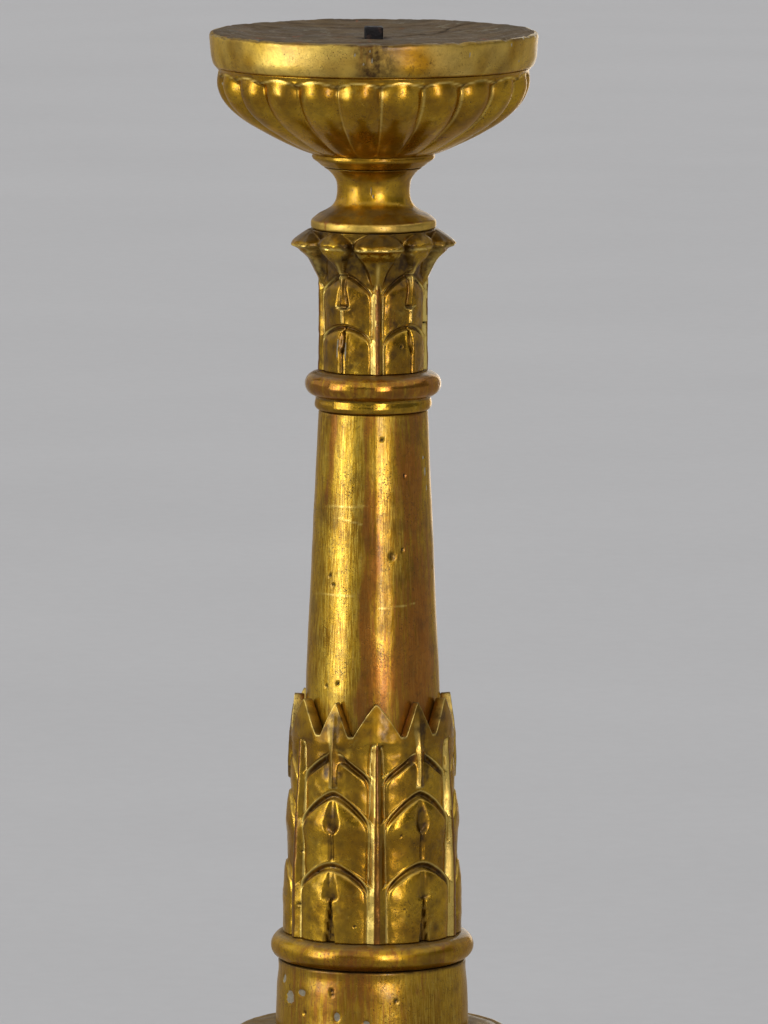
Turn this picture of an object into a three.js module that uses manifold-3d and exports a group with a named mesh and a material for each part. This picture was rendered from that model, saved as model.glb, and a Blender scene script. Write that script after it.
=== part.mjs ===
// Giltwood altar candlestick: a turned and carved spindle of glued pieces on a three-sided
// pedestal with lion-paw feet. Millimetres, +Z up, -Y is the front, z = 0 is the altar top.
import * as THREE from "three";
import { mergeVertices } from "three/addons/utils/BufferGeometryUtils.js";
import Module from "manifold-3d";

const wasm = await Module();
wasm.setup();

// ---------------------------------------------------------------- driving dimensions
const GAP = 0.3; // clearance left for glue and gesso wherever two pieces meet
const ROUND = 24; // facets round a turned piece

// Heights of the joints between the pieces, from the top down
const TANG_TOP = 762.5;
const RIM_TOP = 760;
const DISH_FLOOR = 755.7;
const BOWL_TOP = 738.5;
const NECK_TOP = 685.7;
const ABACUS_BOTTOM = 651.9;
const CAPITAL_BOTTOM = 573.9;
const UPPER_RING_BOTTOM = 552.3;
const LEAF_TIP = 394.3;
const COLUMN_BOTTOM = 372;
const SLEEVE_BOTTOM = 262.1;
const LOWER_RING_BOTTOM = 247;
const DRUM_BOTTOM = 206.7;
const DISC_BOTTOM = 192.4;
const COLLAR_BOTTOM = 172.3;
const PLINTH_BOTTOM = 60.3;
const BOARD_BOTTOM = 44;

// Radii of the spindle
const PAN_RADIUS = 90;
const DISH_FLOOR_RADIUS = 60;
const LIP_RADIUS = 84;
const BOWL_RADIUS = 85;
const CAPITAL_RADIUS = 44.2;
const COLUMN_TOP_RADIUS = 30;
const COLUMN_TAPER = 0.0447; // growth of radius per millimetre of height, going down
const DISC_RADIUS = 76;

// Tenons, spigots and the iron tang that hold the stack together
const TANG_WIDTH = 10;
const TANG_POINT_WIDTH = 4;
const TANG_SHOULDER = 705;
const TANG_END = 645;
const PAN_SPIGOT = { radius: 30, depth: 6 };
const BOWL_TENON = { radius: 14, length: 18 };
const NECK_TENON = { radius: 18, length: 20 };
const COLUMN_TOP_TENON = { radius: 16, length: 48 };
const COLUMN_FOOT_TENON = { radius: 18, length: 32 };
const DRUM_TOP_TENON = { radius: 20, length: 33 };
const DRUM_FOOT_TENON = { radius: 24, length: 57 };

// Carving
const GADROONS = 22;
const GADROON_DEPTH = 2.6;
const CAPITAL_TIPS = 8;
const CAPITAL_TIP_DEPTH = 4;
const LEAF_TIPS = 12;
const LEAF_NOTCH_DEPTH = 18;
const LEAF_NOTCH_WIDTH = 15;

// Three-sided pedestal: reach is the distance from the axis to the end of a corner, corner is
// half the width of that end, waist is the distance from the axis to the middle of a side
const CORNERS = ["rear", "left", "right"];
const FACES = ["front", "rear_right", "rear_left"];
const PLINTH_PLAN = { reach: 98, corner: 22, waist: 62 };
const PLINTH_TOP_SCALE = 0.68;
const BOARD_PLAN = { reach: 108, corner: 27, waist: 70 };
const BOARD_MOULDING = 3;
const ROSETTE_RADIUS = 21;
const ROSETTE_HEIGHT = 112;
const ROSETTE_SEAT = 1; // how far the back of a rosette is let into the plinth
const PAW_REACH = 119;
const PAW_CENTRE = 86;
const FOOT_DOWEL = { radius: 6, bottom: 22, top: 57 };
const NAIL = { radius: 2, head: 5, distance: 38, point: 82 };

// The rear paw reaches further than the pan does at the front, so the spindle stands off the
// middle of the outline by half the difference
const AXIS_Y = (PAN_RADIUS - PAW_REACH) / 2;

// ---------------------------------------------------------------- materials
const gilding = () => new THREE.MeshStandardMaterial({ color: 0xc49a35, roughness: 0.32, metalness: 0.9 });
const bareWood = () => new THREE.MeshStandardMaterial({ color: 0x7d654a, roughness: 0.85, metalness: 0 });
const iron = () => new THREE.MeshStandardMaterial({ color: 0x2b2724, roughness: 0.6, metalness: 0.8 });

// ---------------------------------------------------------------- shape helpers
// A turned piece: the outline is a list of [radius, height] pairs, going up its outside
function turned(outline, facets = ROUND) {
  const points = outline.map(([radius, height]) => new THREE.Vector2(radius, height));
  return new THREE.LatheGeometry(points, facets).rotateX(Math.PI / 2);
}

// Points of a round moulding, with angles in degrees from the outward direction
function arc(radius, height, size, from, to, steps = 6) {
  return Array.from({ length: steps + 1 }, (_, i) => {
    const angle = THREE.MathUtils.degToRad(from + ((to - from) * i) / steps);
    return [radius + size * Math.cos(angle), height + size * Math.sin(angle)];
  });
}

function cylinder(radius, bottom, top, facets = 12) {
  return turned([[0, bottom], [radius, bottom], [radius, top], [0, top]], facets);
}

// Presses valleys into a turned piece; valleyAt(turn) goes from 0 on a lobe to 1 in a valley
function fluted(geometry, valleyAt, depthAt) {
  const position = geometry.attributes.position;
  for (let i = 0; i < position.count; i += 1) {
    const x = position.getX(i);
    const y = position.getY(i);
    const radius = Math.hypot(x, y);
    if (radius < 1) continue;
    const depth = depthAt(radius, position.getZ(i)) * valleyAt(Math.atan2(x, -y));
    position.setX(i, x * (1 - depth / radius));
    position.setY(i, y * (1 - depth / radius));
  }
  return geometry;
}

// Scales each level of an extruded piece about the axis
function tapered(geometry, scaleAt) {
  const position = geometry.attributes.position;
  for (let i = 0; i < position.count; i += 1) {
    const scale = scaleAt(position.getZ(i));
    position.setX(i, position.getX(i) * scale);
    position.setY(i, position.getY(i) * scale);
  }
  return geometry;
}

function solid(geometry) {
  const bare = geometry.clone();
  bare.deleteAttribute("normal");
  bare.deleteAttribute("uv");
  const merged = mergeVertices(bare, 1e-4);
  const corners = [];
  for (let i = 0; i < merged.index.count; i += 3) {
    const [a, b, c] = [0, 1, 2].map((k) => merged.index.getX(i + k));
    if (a !== b && b !== c && c !== a) corners.push(a, b, c);
  }
  const vertProperties = new Float32Array(merged.attributes.position.array);
  const triVerts = new Uint32Array(corners);
  return new wasm.Manifold(new wasm.Mesh({ numProp: 3, vertProperties, triVerts }));
}

function geometryOf(manifold) {
  const mesh = manifold.getMesh();
  const geometry = new THREE.BufferGeometry();
  geometry.setAttribute("position", new THREE.BufferAttribute(mesh.vertProperties, 3));
  geometry.setIndex(new THREE.BufferAttribute(mesh.triVerts, 1));
  geometry.computeVertexNormals();
  return geometry;
}

function cut(body, tools) {
  return geometryOf(tools.reduce((rest, tool) => rest.subtract(solid(tool)), solid(body)));
}

// ---------------------------------------------------------------- frames of the pedestal
const cornerTurn = (index) => (index * 2 * Math.PI) / 3;
const faceTurn = (index) => cornerTurn(index) + Math.PI;

function plinthScale(height) {
  const rise = (height - PLINTH_BOTTOM) / (COLLAR_BOTTOM - GAP - PLINTH_BOTTOM);
  return PLINTH_TOP_SCALE + (1 - PLINTH_TOP_SCALE) * (1 - rise) ** 2;
}

// From a rosette's own frame, in which it faces +Z, to its seat on one side of the plinth
function rosetteFrame(index) {
  const distance = (height) => PLINTH_PLAN.waist * plinthScale(height);
  const lean = Math.atan(distance(ROSETTE_HEIGHT - 0.5) - distance(ROSETTE_HEIGHT + 0.5));
  const seat = distance(ROSETTE_HEIGHT) - ROSETTE_SEAT;
  return new THREE.Matrix4()
    .makeRotationZ(faceTurn(index))
    .multiply(new THREE.Matrix4().makeTranslation(0, seat, ROSETTE_HEIGHT))
    .multiply(new THREE.Matrix4().makeRotationX(lean - Math.PI / 2));
}

// Outline of the pedestal with three blunt corners and hollow sides; one corner points to +Y
function triform({ reach, corner, waist }) {
  const chord = corner * Math.cos(Math.PI / 6) + reach * Math.sin(Math.PI / 6);
  const pull = 2 * waist - chord;
  const at = (x, y, index) => new THREE.Vector2(x, y).rotateAround(new THREE.Vector2(), cornerTurn(index));
  const shape = new THREE.Shape();
  CORNERS.forEach((_, index) => {
    const start = at(corner, reach, index);
    const end = at(-corner, reach, index);
    const middle = at(0, pull, index + 0.5);
    const next = at(corner, reach, index + 1);
    if (index === 0) shape.moveTo(start.x, start.y);
    shape.lineTo(end.x, end.y);
    shape.quadraticCurveTo(middle.x, middle.y, next.x, next.y);
  });
  return shape;
}

// ---------------------------------------------------------------- pricket and pan
// Square iron tang with a drawn-out point, grown by clearance when it cuts its own hole
function tang(clearance = 0) {
  const half = (width) => (width / 2 + clearance) * Math.SQRT2;
  const outline = [
    [0, TANG_END - clearance],
    [half(TANG_POINT_WIDTH), TANG_END - clearance],
    [half(TANG_WIDTH), TANG_SHOULDER],
    [half(TANG_WIDTH), TANG_TOP + clearance],
    [0, TANG_TOP + clearance],
  ];
  return turned(outline, 4).rotateZ(Math.PI / 4);
}

function dripPan() {
  const outline = [
    [0, BOWL_TOP - PAN_SPIGOT.depth + GAP],
    [PAN_SPIGOT.radius, BOWL_TOP - PAN_SPIGOT.depth + GAP],
    [PAN_SPIGOT.radius, BOWL_TOP + GAP],
    [BOWL_RADIUS, BOWL_TOP + GAP],
    [PAN_RADIUS - 2.2, BOWL_TOP + 3.4],
    [PAN_RADIUS - 0.8, BOWL_TOP + 6.8],
    [PAN_RADIUS, RIM_TOP - 1.2],
    [PAN_RADIUS - 1, RIM_TOP],
    [LIP_RADIUS, RIM_TOP],
    [DISH_FLOOR_RADIUS, DISH_FLOOR],
    [0, DISH_FLOOR],
  ];
  return cut(turned(outline, 36), [tang(GAP)]);
}

function gadroonBowl() {
  const outline = [
    [0, NECK_TOP - BOWL_TENON.length],
    [BOWL_TENON.radius, NECK_TOP - BOWL_TENON.length],
    [BOWL_TENON.radius, NECK_TOP + GAP],
    [27.9, NECK_TOP + GAP],
    [31.5, 689.2],
    [33.7, 692.5],
    [48.7, 699.1],
    [61.6, 705.7],
    [72.2, 712.3],
    [80, 719.2],
    [84, 725.5],
    [BOWL_RADIUS, 734],
    [BOWL_RADIUS, BOWL_TOP],
    [PAN_SPIGOT.radius + GAP, BOWL_TOP],
    [PAN_SPIGOT.radius + GAP, BOWL_TOP - PAN_SPIGOT.depth],
    [0, BOWL_TOP - PAN_SPIGOT.depth],
  ];
  const valleyAt = (turn) => 1 - Math.abs(Math.sin((turn * GADROONS) / 2));
  const depthAt = (radius, height) =>
    radius > 40 && height < 736 ? (GADROON_DEPTH * radius) / BOWL_RADIUS : 0;
  const carved = fluted(turned(outline, GADROONS * 3), valleyAt, depthAt);
  return cut(carved, [tang(GAP)]);
}

function neck() {
  const outline = [
    [0, ABACUS_BOTTOM - NECK_TENON.length],
    [NECK_TENON.radius, ABACUS_BOTTOM - NECK_TENON.length],
    [NECK_TENON.radius, ABACUS_BOTTOM],
    [34.2, ABACUS_BOTTOM],
    [34.2, 656.3],
    [30.4, 659.6],
    [24.1, 662.9],
    [21.1, 666.2],
    [20, 672.8],
    [20.5, 677.5],
    [23.8, 682.7],
    [27.5, NECK_TOP],
    [BOWL_TENON.radius + GAP, NECK_TOP],
    [BOWL_TENON.radius + GAP, NECK_TOP - BOWL_TENON.length - GAP],
    [0, NECK_TOP - BOWL_TENON.length - GAP],
  ];
  return cut(turned(outline), [tang(GAP)]);
}

// ---------------------------------------------------------------- capital and column
function capital() {
  const top = ABACUS_BOTTOM - GAP;
  const columnTenonTop = UPPER_RING_BOTTOM - GAP + COLUMN_TOP_TENON.length + GAP;
  const outline = [
    [0, columnTenonTop],
    [COLUMN_TOP_TENON.radius + GAP, columnTenonTop],
    [COLUMN_TOP_TENON.radius + GAP, CAPITAL_BOTTOM],
    [29.6, CAPITAL_BOTTOM],
    [29.8, 603],
    [32.2, 628],
    [37, 636.4],
    [CAPITAL_RADIUS - 1, 640.4],
    [CAPITAL_RADIUS, 643.8],
    [CAPITAL_RADIUS - 3, 647.6],
    [34.2, top],
    [NECK_TENON.radius + GAP, top],
    [NECK_TENON.radius + GAP, top - NECK_TENON.length],
    [0, top - NECK_TENON.length],
  ];
  const valleyAt = (turn) => 0.5 - 0.5 * Math.cos(turn * CAPITAL_TIPS);
  const depthAt = (radius) => (radius > 35 ? CAPITAL_TIP_DEPTH : 0);
  return fluted(turned(outline, CAPITAL_TIPS * 4), valleyAt, depthAt);
}

function upperRing() {
  const bore = COLUMN_TOP_TENON.radius + GAP;
  const top = CAPITAL_BOTTOM - GAP;
  return turned([
    [bore, UPPER_RING_BOTTOM],
    [31.2, UPPER_RING_BOTTOM],
    [31.6, 558.8],
    ...arc(30.8, 566.6, 6.6, -78, 84),
    [30.8, top],
    [bore, top],
    [bore, UPPER_RING_BOTTOM],
  ]);
}

function column() {
  const top = UPPER_RING_BOTTOM - GAP;
  const footRadius = COLUMN_TOP_RADIUS + COLUMN_TAPER * (top - COLUMN_BOTTOM);
  return turned([
    [0, COLUMN_BOTTOM - COLUMN_FOOT_TENON.length],
    [COLUMN_FOOT_TENON.radius, COLUMN_BOTTOM - COLUMN_FOOT_TENON.length],
    [COLUMN_FOOT_TENON.radius, COLUMN_BOTTOM],
    [footRadius, COLUMN_BOTTOM],
    [COLUMN_TOP_RADIUS, top],
    [COLUMN_TOP_TENON.radius, top],
    [COLUMN_TOP_TENON.radius, top + COLUMN_TOP_TENON.length],
    [0, top + COLUMN_TOP_TENON.length],
  ]);
}

// ---------------------------------------------------------------- leaf sleeve
// Wedge that opens the gap between two leaf tips
function leafNotch(index) {
  const wedge = new THREE.Shape();
  wedge.moveTo(-LEAF_NOTCH_WIDTH / 2, LEAF_TIP + 1);
  wedge.lineTo(0, LEAF_TIP - LEAF_NOTCH_DEPTH);
  wedge.lineTo(LEAF_NOTCH_WIDTH / 2, LEAF_TIP + 1);
  wedge.closePath();
  const reach = new THREE.ExtrudeGeometry(wedge, { depth: 20, bevelEnabled: false });
  const turn = ((index + 0.5) * 2 * Math.PI) / LEAF_TIPS;
  return reach.translate(0, 0, 33).rotateX(Math.PI / 2).rotateZ(turn);
}

function leafSleeve() {
  const cup = COLUMN_TOP_RADIUS + COLUMN_TAPER * (UPPER_RING_BOTTOM - COLUMN_BOTTOM) + GAP;
  const columnTenonEnd = COLUMN_BOTTOM - COLUMN_FOOT_TENON.length - GAP;
  const drumTenonTop = LOWER_RING_BOTTOM - GAP + DRUM_TOP_TENON.length + GAP;
  const outline = [
    [0, drumTenonTop],
    [DRUM_TOP_TENON.radius + GAP, drumTenonTop],
    [DRUM_TOP_TENON.radius + GAP, SLEEVE_BOTTOM],
    [48.6, SLEEVE_BOTTOM],
    [48.4, 300],
    [46, 308],
    [47.2, 322],
    [46.2, 334],
    [44.6, 348],
    [45.2, 360],
    [44, 371],
    [41.6, LEAF_TIP],
    [cup, LEAF_TIP],
    [cup, COLUMN_BOTTOM - GAP],
    [COLUMN_FOOT_TENON.radius + GAP, COLUMN_BOTTOM - GAP],
    [COLUMN_FOOT_TENON.radius + GAP, columnTenonEnd],
    [0, columnTenonEnd],
  ];
  const notches = Array.from({ length: LEAF_TIPS }, (_, index) => leafNotch(index));
  return cut(turned(outline, 36), notches);
}

// ---------------------------------------------------------------- lower ring, drum and disc
function lowerRing() {
  const bore = DRUM_TOP_TENON.radius + GAP;
  return turned([
    [bore, LOWER_RING_BOTTOM],
    ...arc(48.5, (LOWER_RING_BOTTOM + SLEEVE_BOTTOM - GAP) / 2, 7.4, -90, 90, 8),
    [bore, SLEEVE_BOTTOM - GAP],
    [bore, LOWER_RING_BOTTOM],
  ]);
}

function drum() {
  const top = LOWER_RING_BOTTOM - GAP;
  return turned([
    [0, DRUM_BOTTOM - DRUM_FOOT_TENON.length],
    [DRUM_FOOT_TENON.radius, DRUM_BOTTOM - DRUM_FOOT_TENON.length],
    [DRUM_FOOT_TENON.radius, DRUM_BOTTOM],
    [53.2, DRUM_BOTTOM],
    [52.9, 222],
    [51.7, top],
    [DRUM_TOP_TENON.radius, top],
    [DRUM_TOP_TENON.radius, top + DRUM_TOP_TENON.length],
    [0, top + DRUM_TOP_TENON.length],
  ]);
}

function baseDisc() {
  const bore = DRUM_FOOT_TENON.radius + GAP;
  const top = DRUM_BOTTOM - GAP;
  return turned([
    [bore, DISC_BOTTOM],
    [DISC_RADIUS - 4, DISC_BOTTOM],
    ...arc(DISC_RADIUS - 4, DISC_BOTTOM + 4, 4, -60, 0, 2),
    ...arc(DISC_RADIUS - 3, top - 3, 3, 0, 90, 3),
    [bore, top],
    [bore, DISC_BOTTOM],
  ]);
}

function baseCollar() {
  const bore = DRUM_FOOT_TENON.radius + GAP;
  const top = DISC_BOTTOM - GAP;
  return turned([
    [bore, COLLAR_BOTTOM],
    [46, COLLAR_BOTTOM],
    [46, COLLAR_BOTTOM + 4],
    ...arc(61, COLLAR_BOTTOM + 4, 13, 180, 90, 4),
    [64, COLLAR_BOTTOM + 17],
    [64, top],
    [bore, top],
    [bore, COLLAR_BOTTOM],
  ]);
}

// ---------------------------------------------------------------- pedestal
function plinth() {
  const height = COLLAR_BOTTOM - GAP - PLINTH_BOTTOM;
  const options = { depth: height, steps: 5, bevelEnabled: false, curveSegments: 6 };
  const block = new THREE.ExtrudeGeometry(triform(PLINTH_PLAN), options).translate(0, 0, PLINTH_BOTTOM);
  const mortise = cylinder(DRUM_FOOT_TENON.radius + GAP, DRUM_BOTTOM - DRUM_FOOT_TENON.length - GAP, 180, ROUND);
  const seats = FACES.map((_, index) => rosette(GAP).applyMatrix4(rosetteFrame(index)));
  const nailHoles = FACES.map((_, index) => nail(GAP).rotateZ(faceTurn(index)));
  return cut(tapered(block, plinthScale), [mortise, ...seats, ...nailHoles]);
}

// Carved flower with a peg behind it, in its own frame, facing +Z
function rosette(clearance = 0) {
  const petals = 8;
  const outline = [
    [0, -12 - clearance],
    [4 + clearance, -12 - clearance],
    [4 + clearance, -clearance],
    [ROSETTE_RADIUS + clearance, -clearance],
    [ROSETTE_RADIUS + clearance, 3 + clearance],
    [ROSETTE_RADIUS - 5, 5.5 + clearance],
    [9, 4 + clearance],
    [7, 7.5 + clearance],
    [0, 9 + clearance],
  ];
  const valleyAt = (turn) => (clearance ? 0 : 0.5 - 0.5 * Math.cos(turn * petals));
  const depthAt = (radius) => (radius > ROSETTE_RADIUS - 6 ? 2.5 : 0);
  return fluted(turned(outline, petals * 3), valleyAt, depthAt);
}

// Nail through the bottom board into the plinth, under the middle of a side
function nail(clearance = 0) {
  const outline = [
    [0, BOARD_BOTTOM - GAP - 2],
    [NAIL.head, BOARD_BOTTOM - GAP - 2],
    [NAIL.head, BOARD_BOTTOM - GAP],
    [NAIL.radius + clearance, BOARD_BOTTOM - GAP],
    [NAIL.radius + clearance, NAIL.point - 6],
    [0, NAIL.point + clearance],
  ];
  return turned(outline, 10).translate(0, NAIL.distance, 0);
}

function footDowel(clearance = 0) {
  const { radius, bottom, top } = FOOT_DOWEL;
  return cylinder(radius + clearance, bottom - clearance, top + clearance).translate(0, PAW_CENTRE, 0);
}

function bottomBoard() {
  const depth = PLINTH_BOTTOM - GAP - BOARD_BOTTOM - 2 * BOARD_MOULDING;
  const options = {
    depth,
    bevelThickness: BOARD_MOULDING,
    bevelSize: BOARD_MOULDING,
    bevelOffset: -BOARD_MOULDING,
    bevelSegments: 2,
    curveSegments: 6,
  };
  const slab = new THREE.ExtrudeGeometry(triform(BOARD_PLAN), options);
  slab.translate(0, 0, BOARD_BOTTOM + BOARD_MOULDING);
  const dowelHoles = CORNERS.map((_, index) => footDowel(GAP).rotateZ(cornerTurn(index)));
  const nailHoles = FACES.map((_, index) => nail(GAP).rotateZ(faceTurn(index)));
  return cut(slab, [...dowelHoles, ...nailHoles]);
}

function lump(x, y, z, width, length, height) {
  return new THREE.SphereGeometry(1, 10, 6).scale(width, length, height).translate(x, y, z);
}

// Lion's paw under the +Y corner: a thick pastern, a pad and four toes, flat above and below
function paw() {
  const toeLength = 13;
  const toes = [-18, -6, 6, 18].map((x) => {
    const reach = PAW_REACH - toeLength - Math.abs(x) * 0.25 + 1.5;
    return lump(x, reach, 9, 7.5, toeLength, 9.8);
  });
  const pad = lump(0, PAW_CENTRE + 4, 13, 25, 23, 17);
  const pastern = turned([[0, 12], [18, 12], [17, 26], [22, BOARD_BOTTOM], [0, BOARD_BOTTOM]], 12);
  pastern.translate(0, PAW_CENTRE, 0);
  const whole = [pad, pastern, ...toes].map(solid).reduce((sum, piece) => sum.add(piece));
  const slab = new THREE.BoxGeometry(80, 90, BOARD_BOTTOM - GAP);
  slab.translate(0, PAW_CENTRE, (BOARD_BOTTOM - GAP) / 2);
  return geometryOf(whole.intersect(solid(slab)).subtract(solid(footDowel(GAP))));
}

// ---------------------------------------------------------------- assembly
function piece(name, geometry, material) {
  const mesh = new THREE.Mesh(geometry, material);
  mesh.name = name;
  return mesh;
}

function spindle() {
  const group = new THREE.Group();
  group.add(piece("pricket_tang", tang(), iron()));
  const turnings = {
    drip_pan: dripPan,
    gadroon_bowl: gadroonBowl,
    neck,
    capital,
    upper_ring: upperRing,
    column,
    leaf_sleeve: leafSleeve,
    lower_ring: lowerRing,
    drum,
    base_disc: baseDisc,
    base_collar: baseCollar,
  };
  Object.entries(turnings).forEach(([name, make]) => group.add(piece(name, make(), gilding())));
  return group;
}

function corner(side, index) {
  const group = new THREE.Group();
  group.rotation.z = cornerTurn(index);
  group.add(piece(`paw_foot_${side}`, paw(), gilding()));
  group.add(piece(`foot_dowel_${side}`, footDowel(), bareWood()));
  return group;
}

function face(side, index) {
  const group = new THREE.Group();
  const flower = piece(`rosette_${side}`, rosette(), gilding());
  flower.applyMatrix4(rosetteFrame(index));
  const fixing = piece(`board_nail_${side}`, nail(), iron());
  fixing.rotation.z = faceTurn(index);
  group.add(flower, fixing);
  return group;
}

function pedestal() {
  const group = new THREE.Group();
  group.add(piece("plinth", plinth(), gilding()));
  group.add(piece("bottom_board", bottomBoard(), gilding()));
  CORNERS.forEach((side, index) => group.add(corner(side, index)));
  FACES.forEach((side, index) => group.add(face(side, index)));
  return group;
}

const candlestick = new THREE.Group();
candlestick.add(spindle(), pedestal());
candlestick.position.y = AXIS_Y;

export default candlestick;
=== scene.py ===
"""Looks of a giltwood altar candlestick: carved leaf work, burnished gold over red clay, wear and dust.

Angles round the spindle are in degrees from the front (-Y), growing towards +X. Shapes are worked
out in millimetres and written to the meshes in metres.
"""
import math

import bpy
import numpy as np
from mathutils import Matrix, Vector


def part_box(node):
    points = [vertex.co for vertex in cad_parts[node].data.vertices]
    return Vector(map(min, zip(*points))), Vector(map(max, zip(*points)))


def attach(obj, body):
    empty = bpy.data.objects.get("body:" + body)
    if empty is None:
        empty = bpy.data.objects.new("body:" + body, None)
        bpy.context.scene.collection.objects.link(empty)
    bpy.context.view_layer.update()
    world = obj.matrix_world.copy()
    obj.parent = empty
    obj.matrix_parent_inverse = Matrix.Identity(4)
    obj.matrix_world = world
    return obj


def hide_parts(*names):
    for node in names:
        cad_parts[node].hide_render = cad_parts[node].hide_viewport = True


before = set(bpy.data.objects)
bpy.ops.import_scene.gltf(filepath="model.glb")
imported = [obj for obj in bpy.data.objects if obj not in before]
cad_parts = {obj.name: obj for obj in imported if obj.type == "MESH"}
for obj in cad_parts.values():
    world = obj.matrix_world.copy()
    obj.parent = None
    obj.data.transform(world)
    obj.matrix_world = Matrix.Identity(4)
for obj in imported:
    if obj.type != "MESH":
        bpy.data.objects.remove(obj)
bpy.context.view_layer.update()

scene = bpy.context.scene
MM = 0.001
ROOT = "root"


def node_axis(node):
    """The upright line through the middle of a CAD node, in metres."""
    low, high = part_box(node)
    return (low.x + high.x) / 2, (low.y + high.y) / 2


AXIS_X, AXIS_Y = node_axis("column")
AXIS = np.array([AXIS_X / MM, AXIS_Y / MM, 0])


def span(node):
    """Lowest and highest point of a CAD node, in millimetres."""
    low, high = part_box(node)
    return low.z / MM, high.z / MM


# ---- number helpers
def ramp(value, start, end):
    """Rises smoothly from 0 to 1 as value goes from start to end."""
    t = np.clip((value - start) / (end - start), 0, 1)
    return t * t * (3 - 2 * t)


def bump(value, centre, half):
    """1 at the centre, falling smoothly to 0 at half a width either side."""
    return ramp(half - np.abs(value - centre), 0, half)


def dome(value, half):
    """Round cross-section: 1 in the middle, 0 at plus or minus half."""
    return np.sqrt(np.clip(1 - (value / half) ** 2, 0, 1))


def within(value):
    return np.clip(value, 0, 1)


def turned_from(turn, centre):
    """Signed angle from a centre angle, between -180 and 180."""
    return (turn - centre + 180) % 360 - 180


def around(columns):
    """Evenly spaced angles round the spindle."""
    return np.linspace(0, 360, columns, endpoint=False)


def table(value, pairs):
    """Smooth curve through (position, value) pairs."""
    xs, ys = np.array(pairs, float).T
    slopes = np.gradient(ys, xs)
    k = np.clip(np.searchsorted(xs, value) - 1, 0, len(xs) - 2)
    h = xs[k + 1] - xs[k]
    t = within((value - xs[k]) / h)
    a = (1 + 2 * t) * (1 - t) ** 2 * ys[k] + t * (1 - t) ** 2 * h * slopes[k]
    b = t * t * (3 - 2 * t) * ys[k + 1] + t * t * (t - 1) * h * slopes[k + 1]
    return a + b


def ripples(points, size, seed, octaves=2):
    """Smooth noise of about -1 to 1 at points, with features about size wide."""
    rng = np.random.default_rng(seed)
    total = np.zeros(points.shape[:-1])
    for octave in range(octaves):
        waves = rng.normal(size=(10, 3))
        waves /= np.linalg.norm(waves, axis=1)[:, None]
        waves *= 2 * np.pi / size * 2**octave * rng.uniform(0.6, 1.4, (10, 1))
        phase = rng.uniform(0, 2 * np.pi, 10)
        total += 0.5**octave * np.sin(points @ waves.T + phase).sum(-1) / 4
    return total


def blur(values, across, along):
    """Evens out a grid of values, sideways round the spindle and along it."""
    for _ in range(across):
        values = (np.roll(values, 1, 1) + values + np.roll(values, -1, 1)) / 3
    for _ in range(along):
        padded = np.pad(values, ((1, 1), (0, 0)), "edge")
        values = (padded[:-2] + padded[1:-1] + padded[2:]) / 3
    return values


# ---- outlines of turned work
def reach_along(nodes):
    """Distance from the first point to each point of a line."""
    return np.concatenate([[0], np.cumsum(np.linalg.norm(np.diff(nodes, axis=0), axis=1))])


def arc(radius, height, size, start, end, steps):
    turn = np.radians(np.linspace(start, end, steps + 1))
    return [(radius + size * math.cos(a), height + size * math.sin(a)) for a in turn]


def sweep(*points, steps=8):
    """Smooth curve through the points of a moulding."""
    nodes = np.array(points, float)
    reach = reach_along(nodes)
    at = np.linspace(0, reach[-1], steps * (len(nodes) - 1) + 1)
    return list(zip(*(table(at, np.stack([reach, nodes[:, k]], 1)) for k in (0, 1))))


def softened(points, step, passes):
    """The outline resampled at an even step with its corners slightly rounded."""
    nodes = np.array(points, float)
    apart = np.linalg.norm(np.diff(nodes, axis=0), axis=1) > 1e-6
    nodes = nodes[np.concatenate([[True], apart])]
    reach = reach_along(nodes)
    at = np.linspace(0, reach[-1], max(2, int(reach[-1] / step) + 1))
    line = np.stack([np.interp(at, reach, nodes[:, k]) for k in (0, 1)], 1)
    for _ in range(passes):
        line[1:-1] = (line[:-2] + line[1:-1] * 2 + line[2:]) / 4
    return line


# ---- meshes
class Grid:
    """A surface of rows going up and columns going round, in millimetres about the spindle axis."""

    def __init__(self, radius, height, turn):
        shapes = np.broadcast_arrays(radius, height, turn)
        self.radius, self.height, self.turn = (np.array(values, float) for values in shapes)
        self.masks = {}

    def points(self):
        a = np.radians(self.turn)
        return np.stack([self.radius * np.sin(a), -self.radius * np.cos(a), self.height], -1)

    def mask(self, **marks):
        """Adds to the named marks of age and of painted light and shade, each from 0 to 1 at every point."""
        for name, values in marks.items():
            old = self.masks.get(name, 0)
            self.masks[name] = within(old + values + np.zeros_like(self.radius))

    def shade_hollows(self, size, full, much):
        """Paints broad hollows dark, as painted shade."""
        low = blur(self.radius, size, size)
        self.mask(dirt=much * within((low - self.radius) / full))

    def ripples(self, size, seed, octaves=2):
        return ripples(self.points(), size, seed, octaves)

    def handmade(self, depth, size, seed):
        """Small unevenness left by the turner and the carver."""
        self.radius += depth * self.ripples(size, seed)

    def across(self, centre):
        """Distance round the surface from a centre angle."""
        return np.radians(turned_from(self.turn, centre)) * self.radius


def turned_grid(outline, columns, step, passes=2):
    """Grid of an outline turned round the axis, with its radius and height."""
    line = softened(outline, step, passes)
    grid = Grid(line[:, :1], line[:, 1:], around(columns))
    return grid, grid.radius, grid.height


def linked(name, data):
    obj = bpy.data.objects.new(name, data)
    scene.collection.objects.link(obj)
    return obj


def smooth_mesh(name, points, faces, materials):
    mesh = bpy.data.meshes.new(name)
    mesh.from_pydata(points, [], faces)
    mesh.update()
    for material in materials:
        mesh.materials.append(material)
    mesh.polygons.foreach_set("use_smooth", [True] * len(mesh.polygons))
    return linked(name, mesh)


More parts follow.
